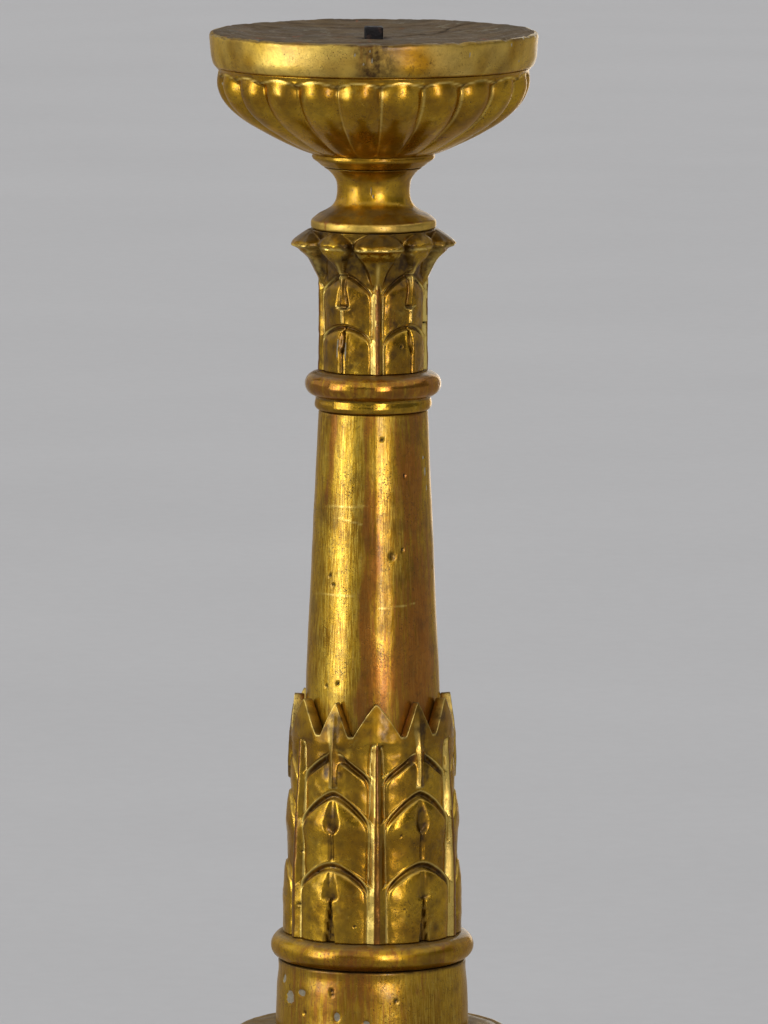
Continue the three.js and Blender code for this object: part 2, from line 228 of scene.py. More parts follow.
def piece(name, node, points, faces, masks, materials):
    """Piece from points about the spindle axis, with its marks of age and of painted light and shade, in
    place of a CAD node.
    """
    obj = smooth_mesh(name, ((points + AXIS) * MM).tolist(), faces, materials)
    for key, values in masks.items():
        attribute = obj.data.attributes.new(key, "FLOAT", "POINT")
        attribute.data.foreach_set("value", np.asarray(values, np.float32))
    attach(obj, ROOT)
    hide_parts(node)
    return obj


def grid_faces(rows, columns):
    """Four-cornered faces between the points of a grid that goes right round."""
    row = np.arange(rows - 1)[:, None] * columns
    column = np.arange(columns)[None]
    beside = (column + 1) % columns
    quads = [row + column, row + beside, row + columns + beside, row + columns + column]
    return np.stack(quads, -1).reshape(-1, 4).tolist()


def revolved(name, node, grid, materials=None, row_slots=None, points=None):
    """Closed piece from a grid, with a cap on each end. row_slots gives each row's material."""
    rows, columns = grid.radius.shape
    points = grid.points() if points is None else points
    flat = np.vstack([points.reshape(-1, 3), points[0].mean(0), points[-1].mean(0)])
    here = np.arange(columns)
    beside = (here + 1) % columns
    middle, last = here * 0 + rows * columns, (rows - 1) * columns
    faces = grid_faces(rows, columns) + np.stack([middle, beside, here], 1).tolist()
    faces += np.stack([last + here, last + beside, middle + 1], 1).tolist()
    flat_masks = {key: values.ravel() for key, values in grid.masks.items()}
    masks = {key: np.concatenate([values, values[:1], values[-1:]]) for key, values in flat_masks.items()}
    obj = piece(name, node, flat, faces, masks, materials or [GILT])
    if row_slots is not None:
        face_slots = np.repeat([*row_slots[:-1], row_slots[0], row_slots[-1]], columns)
        obj.data.polygons.foreach_set("material_index", face_slots.tolist())


# ---- node material helpers
class Value:
    """A number that a shader node gives. Arithmetic on it adds Math nodes."""

    def __init__(self, shade, socket):
        self.shade, self.socket = shade, socket

    def __add__(self, other):
        return self.shade.math("ADD", self, other)

    def __mul__(self, other):
        return self.shade.math("MULTIPLY", self, other)

    def __sub__(self, other):
        return self.shade.math("SUBTRACT", self, other)

    def __rsub__(self, other):
        return self.shade.math("SUBTRACT", other, self)


class Shade:
    """A material, with short names for the shader nodes that the finishes use."""

    def __init__(self, name):
        self.material = bpy.data.materials.new(name)
        self.material.use_nodes = True
        self.tree = self.material.node_tree
        self.tree.nodes.clear()
        self.shader = self.add("ShaderNodeBsdfPrincipled")
        self.add("ShaderNodeOutputMaterial", {"Surface": self.shader.outputs[0]})
        self.place = self.add("ShaderNodeTexCoord").outputs["Object"]

    def add(self, kind, plugs=None, **settings):
        node = self.tree.nodes.new(kind)
        for key, setting in settings.items():
            setattr(node, key, setting)
        for key, value in (plugs or {}).items():
            self.plug(node.inputs[key], value)
        return node

    def plug(self, socket, value):
        value = getattr(value, "socket", value)
        if isinstance(value, bpy.types.NodeSocket):
            self.tree.links.new(value, socket)
        elif socket.type == "RGBA":
            socket.default_value = (*value, 1)
        else:
            socket.default_value = value

    def noise(self, scale, detail=3.0, rough=0.55, stretch=(1, 1, 1), warp=0.0):
        place = self.add("ShaderNodeMapping", {"Vector": self.place, "Scale": stretch}).outputs[0]
        plugs = {"Vector": place, "Scale": scale, "Detail": detail, "Roughness": rough, "Distortion": warp}
        return Value(self, self.add("ShaderNodeTexNoise", plugs).outputs[0])

    def attribute(self, name):
        return Value(self, self.add("ShaderNodeAttribute", attribute_name=name).outputs["Fac"])

    def math(self, operation, a, b):
        return Value(self, self.add("ShaderNodeMath", {0: a, 1: b}, operation=operation).outputs[0])

    def most(self, first, *others):
        for other in others:
            first = self.math("MAXIMUM", first, other)
        return first

    def between(self, value, low, high, start=0.0, end=1.0):
        """Rises from start to end as value goes from low to high."""
        plugs = dict(enumerate((value, low, high, start, end)))
        return Value(self, self.add("ShaderNodeMapRange", plugs, interpolation_type="SMOOTHSTEP").outputs[0])

    def mix(self, factor, a, b):
        return self.add("ShaderNodeMix", {0: factor, 6: a, 7: b}, data_type="RGBA").outputs[2]

    def blend(self, factor, a, b):
        return Value(self, self.add("ShaderNodeMix", {0: factor, 2: a, 3: b}, data_type="FLOAT").outputs[0])

    def upward(self):
        """How far the surface faces up, from -1 to 1."""
        normal = self.add("ShaderNodeNewGeometry").outputs["Normal"]
        return Value(self, self.add("ShaderNodeSeparateXYZ", {0: normal}).outputs[2])

    def finish(self, colour, roughness, metallic=0.0, **others):
        """The finished material; an underscore stands for each space in the name of another input."""
        plugs = {"Base Color": colour, "Roughness": roughness, "Metallic": metallic}
        plugs.update({name.replace("_", " "): value for name, value in others.items()})
        for key, value in plugs.items():
            self.plug(self.shader.inputs[key], value)
        return self.material

    def relief(self, height, distance):
        plugs = {"Strength": 1.0, "Distance": distance, "Height": height}
        return self.add("ShaderNodeBump", plugs).outputs[0]


# ---- finishes
GOLD = (0.51, 0.305, 0.018)
GOLD_DEEP = (0.33, 0.172, 0.006)
GOLD_PALE = (0.68, 0.490, 0.085)
GOLD_WORN_AND_HIGHLIGHT = (0.93, 0.72, 0.220)
GOLD_TINT = (0.85, 0.62, 0.25)
BOLE = (0.42, 0.132, 0.012)
BOLE_DARK = (0.18, 0.060, 0.007)
# colours of dirt, also used for painted shade
DIRT_AND_SHADE = (0.074, 0.033, 0.004)
GRIME_AND_SHADE = (0.033, 0.018, 0.005)
DUST = (0.17, 0.118, 0.052)
GESSO = (0.55, 0.51, 0.40)
GESSO_SOILED = (0.30, 0.25, 0.16)
HOLE = (0.006, 0.005, 0.004)


def gilding(name, rubbed=0.0):
    """Burnished gold leaf over red clay and gesso. rubbed lets more of the clay show."""
    s = Shade(name)
    edge, rub, matt, brush, darkening = (s.attribute(key) for key in ("edge", "rub", "matt", "brush", "dirt"))
    gold = s.mix(s.between(s.noise(34, 4, 0.6), 0.36, 0.66), GOLD_DEEP, GOLD)
    gold = s.mix(s.between(s.noise(85, 4, 0.65, warp=0.6), 0.56, 0.78, 0, 0.5), gold, GOLD_PALE)
    grain = s.noise(1500, 3, 0.6, stretch=(1, 1, 0.035))
    gold = s.mix(brush * s.between(grain, 0.44, 0.66, 0, 0.7), gold, GOLD_PALE)
    gold = s.mix(brush * s.between(grain, 0.34, 0.5, 0.32, 0), gold, DIRT_AND_SHADE)
    # pale worn gold on edges, also a painted highlight along raised edges, rims and lit flanks
    gold = s.mix(edge * 0.9, gold, GOLD_WORN_AND_HIGHLIGHT)

    # gold worn through to the clay, in streaks along the piece
    streak = s.noise(300, 6, 0.72, stretch=(1, 1, 0.06))
    patch = s.noise(20, 4, 0.6, stretch=(1, 1, 0.4))
    worn = streak * 0.5 + patch * 0.5 + rub * 0.21 + brush * (grain - 0.5) * 0.5 - edge * 0.16
    clay = s.between(worn, 0.57 - 0.13 * rubbed, 0.69 - 0.10 * rubbed)
    colour = s.mix(clay * 0.80, gold, s.mix(s.noise(70, 3), BOLE_DARK, BOLE))

    # painted shade and dirt in hollows, creases and joints, specks and a mottled film
    specks = s.between(s.noise(1100, 2, 0.7) + s.noise(60, 2) * 0.4, 0.82, 0.94)
    film = s.between(s.noise(44, 5, 0.7), 0.46, 0.70, 0, 0.50) * (1.0 - edge)
    mottle = s.between(s.noise(170, 4, 0.7), 0.35, 0.65, 0.55, 1.0)
    fine = s.between(s.noise(300, 6, 0.8, warp=0.8), 0.47, 0.70, 0, 0.55) * (1.0 - edge * 0.7)
    dirt = s.most(darkening * mottle, film, fine, specks * 0.9)
    colour = s.mix(dirt, colour, s.mix(s.noise(95, 3), DIRT_AND_SHADE, GRIME_AND_SHADE))

    # dust on what faces up, chips down to the gesso, and holes
    dust = s.between(s.upward(), 0.55, 0.98) * s.between(s.noise(140, 4, 0.7), 0.32, 0.62, 0.25, 0.80)
    colour = s.mix(dust, colour, DUST)
    flaked = s.between(s.attribute("chip") + s.noise(330, 4, 0.7), 1.02, 1.12)
    colour = s.mix(flaked, colour, s.mix(s.noise(500, 2), GESSO, GESSO_SOILED))
    colour = s.mix(s.attribute("hole"), colour, HOLE)

    covered = s.most(dust, flaked)
    metal = (1.0 - clay * 0.22) * (1.0 - dirt * 0.25) * (1.0 - covered)
    rough = s.between(s.noise(65, 4, 0.65), 0.3, 0.7, 0.17, 0.31)
    rough = s.blend(dirt * 0.6, rough, 0.5) + matt * 0.18 - 0.16 * rubbed
    rough = s.blend(covered, s.blend(edge * 0.8, rough, 0.35), 0.85)

    # tooled, scratched and pitted surface
    height = s.noise(120, 4, 0.6, warp=0.5) * 0.55 + s.noise(900, 3, 0.6, stretch=(1, 1, 0.08)) * 0.10
    height = height + s.noise(1500, 3, 0.7) * 0.06 - specks * 0.12 - flaked * 0.5
    coat = {"Coat_Weight": 0.34, "Coat_Roughness": 0.15, "Specular_Tint": GOLD_TINT}
    return s.finish(colour, rough, metal, Normal=s.relief(height, 0.0004), **coat)


WOOD_DARK = (0.075, 0.045, 0.019)
WOOD_LIGHT = (0.180, 0.122, 0.058)
WOOD_GREY = (0.100, 0.078, 0.048)
WAX = (0.28, 0.25, 0.18)
CLAY_SPILL = (0.24, 0.075, 0.020)
IRON_STAIN = (0.035, 0.018, 0.010)


def bare_wood():
    """Ungilded top of the pan: grey with age, stained by wax, red clay and iron."""
    s = Shade("aged_bare_wood")
    grain = s.noise(260, 5, 0.65, stretch=(0.12, 1.0, 1.0), warp=0.4)
    colour = s.mix(s.between(grain, 0.3, 0.72), WOOD_DARK, WOOD_LIGHT)
    colour = s.mix(s.between(s.noise(34, 4, 0.65), 0.45, 0.7, 0, 0.7), colour, WOOD_GREY)
    colour = s.mix(s.between(s.noise(70, 5, 0.7, warp=1.2), 0.56, 0.70, 0, 0.55), colour, WAX)
    colour = s.mix(s.between(s.noise(55, 4, 0.7, warp=0.8), 0.60, 0.70, 0, 0.8), colour, CLAY_SPILL)
    colour = s.mix(s.attribute("stain"), colour, IRON_STAIN)
    colour = s.mix(s.attribute("hole"), colour, HOLE)
    relief = s.relief(grain * 0.7 + s.noise(600, 3, 0.7), 0.0005)
    rough = s.between(s.noise(80, 3), 0.3, 0.7, 0.55, 0.85)
    return s.finish(colour, rough, Specular_IOR_Level=0.25, Normal=relief)


def forged_iron():
    s = Shade("forged_iron")
    scale = s.noise(420, 5, 0.7)
    rust = s.between(s.noise(160, 4, 0.65), 0.55, 0.72, 0, 0.6)
    dark, light, rusty = (0.010, 0.010, 0.012), (0.045, 0.042, 0.042), (0.09, 0.035, 0.015)
    colour = s.mix(rust, s.mix(scale, dark, light), rusty)
    rough = s.between(scale, 0.3, 0.7, 0.38, 0.7)
    return s.finish(colour, rough, 0.85 - rust, Normal=s.relief(scale, 0.0006))


def dowel_wood():
    s = Shade("dowel_wood")
    grain = s.noise(220, 5, 0.6, stretch=(1, 1, 0.08))
    colour = s.mix(grain, (0.11, 0.066, 0.032), (0.30, 0.20, 0.11))
    return s.finish(colour, s.between(grain, 0.2, 0.8, 0.6, 0.8), Normal=s.relief(grain, 0.0004))


GILT = gilding("burnished_gilding")
GILT_RUBBED = gilding("rubbed_gilding", rubbed=0.45)
WOOD = bare_wood()
IRON = forged_iron()
DOWEL = dowel_wood()


# ---- marks of age
def beetle_holes(grid, spots, radius, depth):
    """Small round holes at (angle, height) spots."""
    for turn, height in spots:
        near = np.hypot(grid.across(turn), grid.height - height)
        inside = ramp(radius * 1.35 - near, 0, radius * 0.7)
        grid.radius -= depth * inside
        grid.mask(hole=inside)


def chips(grid, spots, depth):
    """Patches at (angle, height, width, tall) where gold and clay have flaked off the gesso."""
    for turn, height, width, tall in spots:
        near = np.hypot(grid.across(turn) / width, (grid.height - height) / tall)
        inside = within(1.25 - near)
        grid.radius -= depth * ramp(inside, 0.2, 0.8)
        grid.mask(chip=0.85 * ramp(inside, 0.0, 0.9))


# ---- pricket and pan
STUB_SIDES = 40
STUB_HALF = 5.0
STUB_CORNER = 1.36  # reach of a corner of the stub over its half width, less than 1.41 because it is blunt


def pricket():
    """Square iron stub with hammered, slightly swollen top edges."""
    low, high = span("pricket_tang")
    a = np.radians(around(STUB_SIDES))
    square = np.minimum(1 / np.maximum(np.abs(np.cos(a)), np.abs(np.sin(a))), STUB_CORNER)
    rows = [(0.4, low), (0.4, low + 60), (1, low + 61), (1, high - 6), (1.02, high - 1.2), (1.0, high - 0.4)]
    scale, height = np.array(rows + [(0.93, high), (0.5, high)]).T[..., None]
    grid = Grid(scale * STUB_HALF * square, height, around(STUB_SIDES))
    revolved("pricket_stub", "pricket_tang", grid, [IRON])


PAN_JOINT = 2.3  # the foot of the pan's band over the top of the bowl's CAD node
DISH_DEPTH = 4.3
CRACK_TURN = 137


def pan():
    """Turned pan: gilded band, bare dished top with a drying crack."""
    low, rim = span("drip_pan")
    under, floor = span("gadroon_bowl")[1] + PAN_JOINT, rim - DISH_DEPTH
    band_curve = [(86.9, 0.1), (87.6, 1.0), (88.3, 2.8), (89.0, 5.4), (89.2, 7.5)]
    outline = [(29.9, low), (29.9, under), (86.4, under)] + sweep(*((r, under + z) for r, z in band_curve))
    outline += [(90.0, rim - 1.6), (89.7, rim - 0.5)]
    dish_curve = [(88.9, rim), (84.5, rim - 0.1), (80, rim - 0.8), (66, rim - 3.2), (52, floor)]
    outline += sweep(*dish_curve, (30, floor + 0.1)) + [(14, floor + 0.3), (5.4, floor + 0.1)]
    grid, r, z = turned_grid(outline, 480, 0.85)
    top = (z > rim - 6) & (r < 88.7)
    r += np.where(top, 0, 0.16) * grid.ripples(34, 3)
    z += np.where(top, 0.22, 0.10) * grid.ripples(22, 4)

    # turning rings and the crack in the floor of the dish
    z += np.where(top, np.sin(r * 1.9) * 0.07 + np.sin(r * 0.77) * 0.08, 0)
    across = np.radians(turned_from(grid.turn, CRACK_TURN) + 2.2 * np.sin(r * 0.16)) * r
    crack = bump(across, 0, 1.1) * ramp(r, 7, 12) * ramp(84 - r, 0, 10) * top
    z -= 1.1 * crack
    grid.mask(hole=0.8 * crack, stain=ramp(12 - r, 0, 7) * 0.8 * top + 0.35 * bump(across, 0, 4) * top)

    # soiled patch at the front of the band, worn rim and chips
    band = (z > under + 1) & (r > 84)
    darkening = (bump(grid.turn, 2, 9) + bump(grid.turn, 354, 7) + bump(grid.turn, 360, 8)) * band
    grid.mask(dirt=0.9 * darkening, rub=0.5 * darkening, matt=1.0 * band)
    grid.mask(rub=0.5 * ramp(z, rim - 2.2, rim - 0.4) * (r > 87))
    grid.mask(dirt=0.8 * ramp(z, rim - 2.4, rim - 0.6) * (r > 88.7))
    z -= 0.55 * ramp(z, rim - 3, rim - 0.5) * (r > 86) * np.clip(grid.ripples(11, 5, 3), 0, 2)
    grid.mask(edge=0.45 * band * within(0.7 + 0.5 * grid.ripples(30, 6)))
    spots = [(54, rim - 3.5, 1.6, 1.6), (63, rim - 0.8, 1.7, 0.9), (33, rim - 7, 0.8, 2.2)]
    spots += [(60, 747, 1.4, 1.0), (-9, rim - 6, 1.0, 1.2), (-4, rim - 4, 0.9, 1.0)]
    spots += [(-3, rim - 9, 0.9, 2.2), (-6, rim - 11, 0.8, 1.0)]
    chips(grid, spots, 0.4)
    bare = ((z[:, 0] > rim - 6) & (r[:, 0] < 88.4)).astype(int)
    revolved("drip_pan_gilt", "drip_pan", grid, [GILT, WOOD], row_slots=bare)


# ---- gadroon bowl
GADROONS = 22
BOWL_RISE = 2.28  # how far the bowl's top stands over its CAD node, just under the pan
LOBE_TOP = 738.4


def gadroon_bowl():
    """Convex lobes running from a plain band under the pan down to a bead."""
    low, top = span("gadroon_bowl")
    top += BOWL_RISE
    bead = [(27.8, 686.0), (29.4, 687.4), (31.2, 688.9), (33.0, 690.0), (33.9, 691.4), (33.6, 693.0)]
    outline = [(13.9, low), (13.9, 686.0)] + sweep(*bead, steps=4)
    outline += sweep(
        (33.6, 693.0), (41.3, 695.8), (48.7, 699.1), (61.6, 705.7), (72.2, 712.3), (79.6, 718.9),
        (84.0, 725.6), (85.5, 730.4), (85.6, 734.0), (85.1, 737.0), (84.6, 738.7), (85.2, 739.7),
        (86.5, top), steps=12,
    )
    grid, r, z = turned_grid(outline + [(86.2, top), (78, top), (31, top)], GADROONS * 24, 0.95, 1)
    unit = 360 / GADROONS
    side = ((grid.turn + unit / 2) % unit - unit / 2) / (unit / 2)
    across = np.abs(side)  # 0 in a groove, 1 on the crest of a lobe
    off = 1 - across
    under = LOBE_TOP - 2.2 * off**2 - z  # below the arched top of each lobe
    carved = (r > 34) & (z < 739.4)
    depth = (0.8 + 3.9 * ramp(r, 36, 82)) * ramp(z, 693.0, 695.5)
    fade = 0.30 + 0.70 * ramp(under, 0.0, 3.0) ** 0.5
    r -= np.where(carved & (under > 0), depth * fade * off**2.1, 0)
    lip = bump(under, 0.45, 0.75) * (z > 720)
    crease = bump(under, -0.4, 0.8) * (z > 720)
    r += 0.25 * lip - 0.45 * crease
    toe = 693.6 + 3.0 * off**3
    short = within((toe - z) / 1.2) * (z > 692.6) * (r > 33)
    r -= 0.9 * short
    grid.handmade(0.16, 24, 11)
    # painted highlights along the top of each lobe and on the left edge of each lobe
    grid.mask(edge=0.8 * lip + carved * (side > 0) * 0.7 * bump(across, 0.06, 0.055) * (under > 0))
    # painted shade in the crease under the lobes' tops, at the top of each groove and at the toes; the lobes
    # darker towards the bottom
    grid.mask(dirt=0.5 * crease * ramp(0.5 - across, 0, 0.4) + 0.10 * ramp(722 - z, 0, 20) * off)
    grid.mask(dirt=0.75 * bump(under, 0.6, 2.4) * ramp(0.16 - across, 0, 0.14) + 0.2 * short, matt=0.3)
    chips(grid, [(-84, 732, 1.3, 1.1), (49, 724, 1.0, 1.2)], 0.3)
    revolved("gadroon_bowl_carved", "gadroon_bowl", grid)


def neck():
    """Scotia over a square-edged abacus, whose edge is dusty and matt."""
    low, top = span("neck")
    outline = [(17.9, low), (17.9, 651.9), (33.6, 651.9), (34.3, 652.6), (34.4, 655.6), (33.9, 656.9)]
    outline += sweep(
        (33.0, 657.5), (30.2, 659.8), (25.6, 662.2), (22.6, 664.4), (20.9, 667.0), (20.0, 671.0),
        (20.0, 674.5), (20.5, 678.0), (22.2, 681.2), (24.6, 683.8), (27.4, top),
    )
    grid, _, z = turned_grid(outline + [(15, top)], 288, 0.6)
    grid.handmade(0.12, 19, 21)
    dusty = ramp(z, 651.8, 652.6) * ramp(657.4 - z, 0, 1.0)
    grid.mask(rub=0.45 * ramp(z, 655.6, 657.0) * ramp(658.6 - z, 0, 1.2) + 0.25 * dusty)
    grid.mask(matt=0.3 + 0.7 * dusty, edge=0.35 * dusty)
    # painted shade where the neck meets the pieces below and above
    grid.mask(dirt=0.75 * ramp(653.4 - z, 0, 1.6) + 0.6 * ramp(z, top - 1.6, top))
    chips(grid, [(-6, 674, 0.4, 3.4), (-3, 671, 0.4, 1.6)], 0.2)
    revolved("neck_turned", "neck", grid)


# ---- carved leaves
class Leaves(Grid):
    """Grid whose rows follow the carved edges of tiers of leaflets.

    edges give the height of each tier's limits from the share across half a leaf, 0 on the rib and
    1 on the seam. drift is how far the carver strayed from even spacing, in degrees, at each half leaf."""

    def __init__(self, columns, count, reach, edges, rows, drift):
        turn, half = around(columns), 180 / count
        side = np.abs((turn + half) % (2 * half) - half) / half
        limits = [edge(side) for edge in edges]
        levels, tiers = [], []
        for k, number in enumerate(rows):
            for t in np.linspace(0.0 if k == 0 else 0.012, 1, number):
                levels.append(limits[k] + (limits[k + 1] - limits[k]) * t)
                tiers.append(k)
        stops = np.linspace(0, 360, len(drift) + 1)
        super().__init__(0, levels, turn + np.interp(turn, stops, [*drift, drift[0]]))
        flat = np.zeros_like(self.radius)
        self.edges = edges
        self.tier, self.side = np.array(tiers)[:, None] + flat, side + flat
        self.leftward = flat + ((turn + half) % (2 * half) < half) > 0
        self.rib, self.seam = self.side * reach, (1 - self.side) * reach

    def framed(self, crests, spine, rib_half, flank, bevel, sunk, puff, flank_highlight):
        """Cushioned leaflets under a raised edge with a sunk bevel, either side of a roof-shaped rib, with
        painted highlights on the raised edges, the pillows' rims and the rib's left flank, and painted shade
        in the bevels and on the rib's right flank.
        """
        z, from_rib = self.height, self.rib - rib_half
        gap, radius, share = np.zeros((3, *z.shape))
        for k, crest in enumerate(crests):
            under = np.clip((self.edges[k + 1](self.side) - z) * 0.80, -2, 30)
            arch, post = np.exp(-under / 1.6), np.exp(-np.clip(from_rib, -2, 30) / 1.6)
            corner, arched = -np.log(arch + post) * 1.6, arch / (arch + post)
            if k == len(crests) - 1:
                corner, arched = from_rib, 0
            gap = np.where(self.tier == k, np.clip(corner, 0, None), gap)
            share = np.where(self.tier == k, arched, share)
            radius = np.where(self.tier == k, table(z, crest), radius)
        inside = within(-from_rib / np.maximum(flank, 0.05))
        present = ramp(rib_half, 0.3, 1.4)
        bevel = bevel * (0.30 + 0.70 * share)  # narrow beside the rib
        radius += (table(z, spine) - radius) * ramp(1.2 - from_rib, 0, 3.5) * present
        depth = sunk * (0.25 * present + 0.75 * share)
        radius -= depth * ramp(gap, 0.1, bevel * 0.8) * (1 - ramp(gap, bevel * 0.9, bevel + 1.3))
        hollow = np.exp(-np.clip(gap - bevel, 0, None) / (2.2 * puff)) * np.maximum(share, 0.7 * present)
        radius += puff * (0.4 - hollow)
        self.radius = radius + 1.7 * inside * present

        # painted highlight along each raised edge and the pillows' rims, painted shade in red clay and dark
        # dirt colour in each sunk bevel
        line = bump(gap, 0.25, 1.15) * (gap > 0) * (from_rib > 0.1) * np.maximum(share, 0.8 * present)
        shadow = ramp(gap, 0.35, 1.0) * ramp(bevel + 0.3 - gap, 0, 0.9)
        shadow = shadow * (from_rib > 0) * np.maximum(share, present)
        rim = bump(gap, bevel + 1.0, 0.55) * share**0.5 * (from_rib > 0)
        side_face = present * (inside > 0.02) * (inside < 0.85)
        crown = present * (inside >= 0.85)
        blotches = within(0.22 + 0.30 * self.ripples(9, 37, 3))
        # painted highlight on the rib's left flank, painted shade on its right flank; clay and dirt on its
        # crown
        self.mask(edge=line + 0.35 * rim + flank_highlight * side_face * self.leftward)
        self.mask(rub=0.95 * crown + 0.5 * shadow)
        self.mask(dirt=0.6 * side_face * ~self.leftward + shadow * (0.55 + 0.35 * share) + 0.6 * crown)
        self.mask(dirt=blotches * (from_rib > 0.8) * ramp(gap, bevel, bevel + 2.5))


def with_ends(grid, below, above):
    """The grid with plain rows, given as (radius, height) numbers or arrays, before and after it."""
    blank = np.zeros_like(grid.radius[0])
    before, after = ([(blank + r, blank + z) for r, z in rows] for rows in (below, above))
    rows = before + list(zip(grid.radius, grid.height)) + after
    whole = Grid([r for r, _ in rows], [z for _, z in rows], grid.turn[0])
    for key, values in grid.masks.items():
        whole.masks[key] = np.vstack([values[:1]] * len(below) + [values] + [values[-1:]] * len(above))
    return whole


def scoop(across, height, foot, head, half, depth, heel=0.0):
    """A hollow that widens and deepens down to a ledge; heel is the share that rounds off below."""
    rise = within((head - height) / (head - foot))
    rounding = np.where(rise > 1 - heel, dome(rise - 1 + heel, heel), 1) if heel else 1
    width = np.maximum(half * rise**0.6 * rounding, 0.05)
    inside = within(1 - (across / width) ** 2) ** 1.6
    return depth * rise**0.8 * inside * ramp(height, foot - 0.7, foot + 0.5)


CAPITAL_CRESTS = [
    [(570, 29.3), (598, 29.2), (602, 28.8)],
    [(592, 28.2), (605, 28.7), (622, 29.4), (632, 29.8)],
    [(614, 28.4), (622, 28.4), (630, 28.8), (636, 29.6), (644, 31.8), (652, 33.6)],
]
CAPITAL_SPINE = [(570, 29.3), (600, 28.9), (615, 29.0), (630, 29.8)]
BROAD_TIP_HALF = [
    (612, 2.8), (622, 3.2), (630, 5.0), (636, 7.8), (641, 10.8), (643.5, 12.2), (646, 11.6), (649, 8.8),
    (651, 5.4), (652, 3),
]
BROAD_TIP = [
    (612, 29.6), (620, 30.3), (627, 31.4), (632, 33.2), (636, 35.8), (639.5, 39.6), (641.5, 41.6),
    (643.0, 44.6), (645.0, 44.4), (647.5, 41.6), (650, 38.0), (652, 34.8),
]
SMALL_TIP_HALF = [
    (626, 0.9), (632, 2.2), (637, 4.6), (641, 7.0), (643.5, 8.7), (646, 8.2), (649, 6.0), (651, 3.2),
    (652, 1.5),
]
SMALL_TIP = [
    (626, 28.8), (632, 31.2), (637, 34.6), (641, 37.4), (643.4, 39.0), (645, 40.4), (647, 39.4), (650, 36.8),
    (652, 34.4),
]


def curled_tip(grid, distance, half, curl, keel):
    """Raises the leaves' tips at a distance from a rib or a seam; curl is their radius along the middle."""
    z = grid.height
    share = np.clip(distance / half, 0, 2)
    body = ramp(1.12 - share, 0, 0.24) * ramp(z, 618, 632)
    rounded = curl - (curl - 33) * 0.42 * ramp(z, 638, 644) * within(share) ** 2.4
    rounded += keel * (1 - within(share)) * ramp(645 - z, 0, 12)
    grid.radius = np.maximum(grid.radius, grid.radius + (rounded - grid.radius) * body)
    rim = bump(share, 0.97, 0.16) * ramp(z, 622, 630) * ramp(643.5 - z, 0, 2)
    lip = bump(z, 643.2, 1.2) * ramp(1.05 - share, 0, 0.3)
    ridge = bump(distance, 0, 1.5) * ramp(z, 616, 622) * ramp(639 - z, 0, 8)
    # painted highlights along the tip's keel, rim and lip
    grid.mask(edge=0.7 * ridge * body + 0.9 * rim + 0.9 * lip)
    # darker on the lower part of the tip and at its top; painted shade in the hollow just outside each tip
    grid.mask(dirt=0.5 * body * ramp(641 - z, 0, 5) * (1 - ridge))
    grid.mask(dirt=0.8 * bump(share, 1.24, 0.30) * ramp(z, 624, 632) + 0.55 * ramp(z, 644.6, 647) * body)


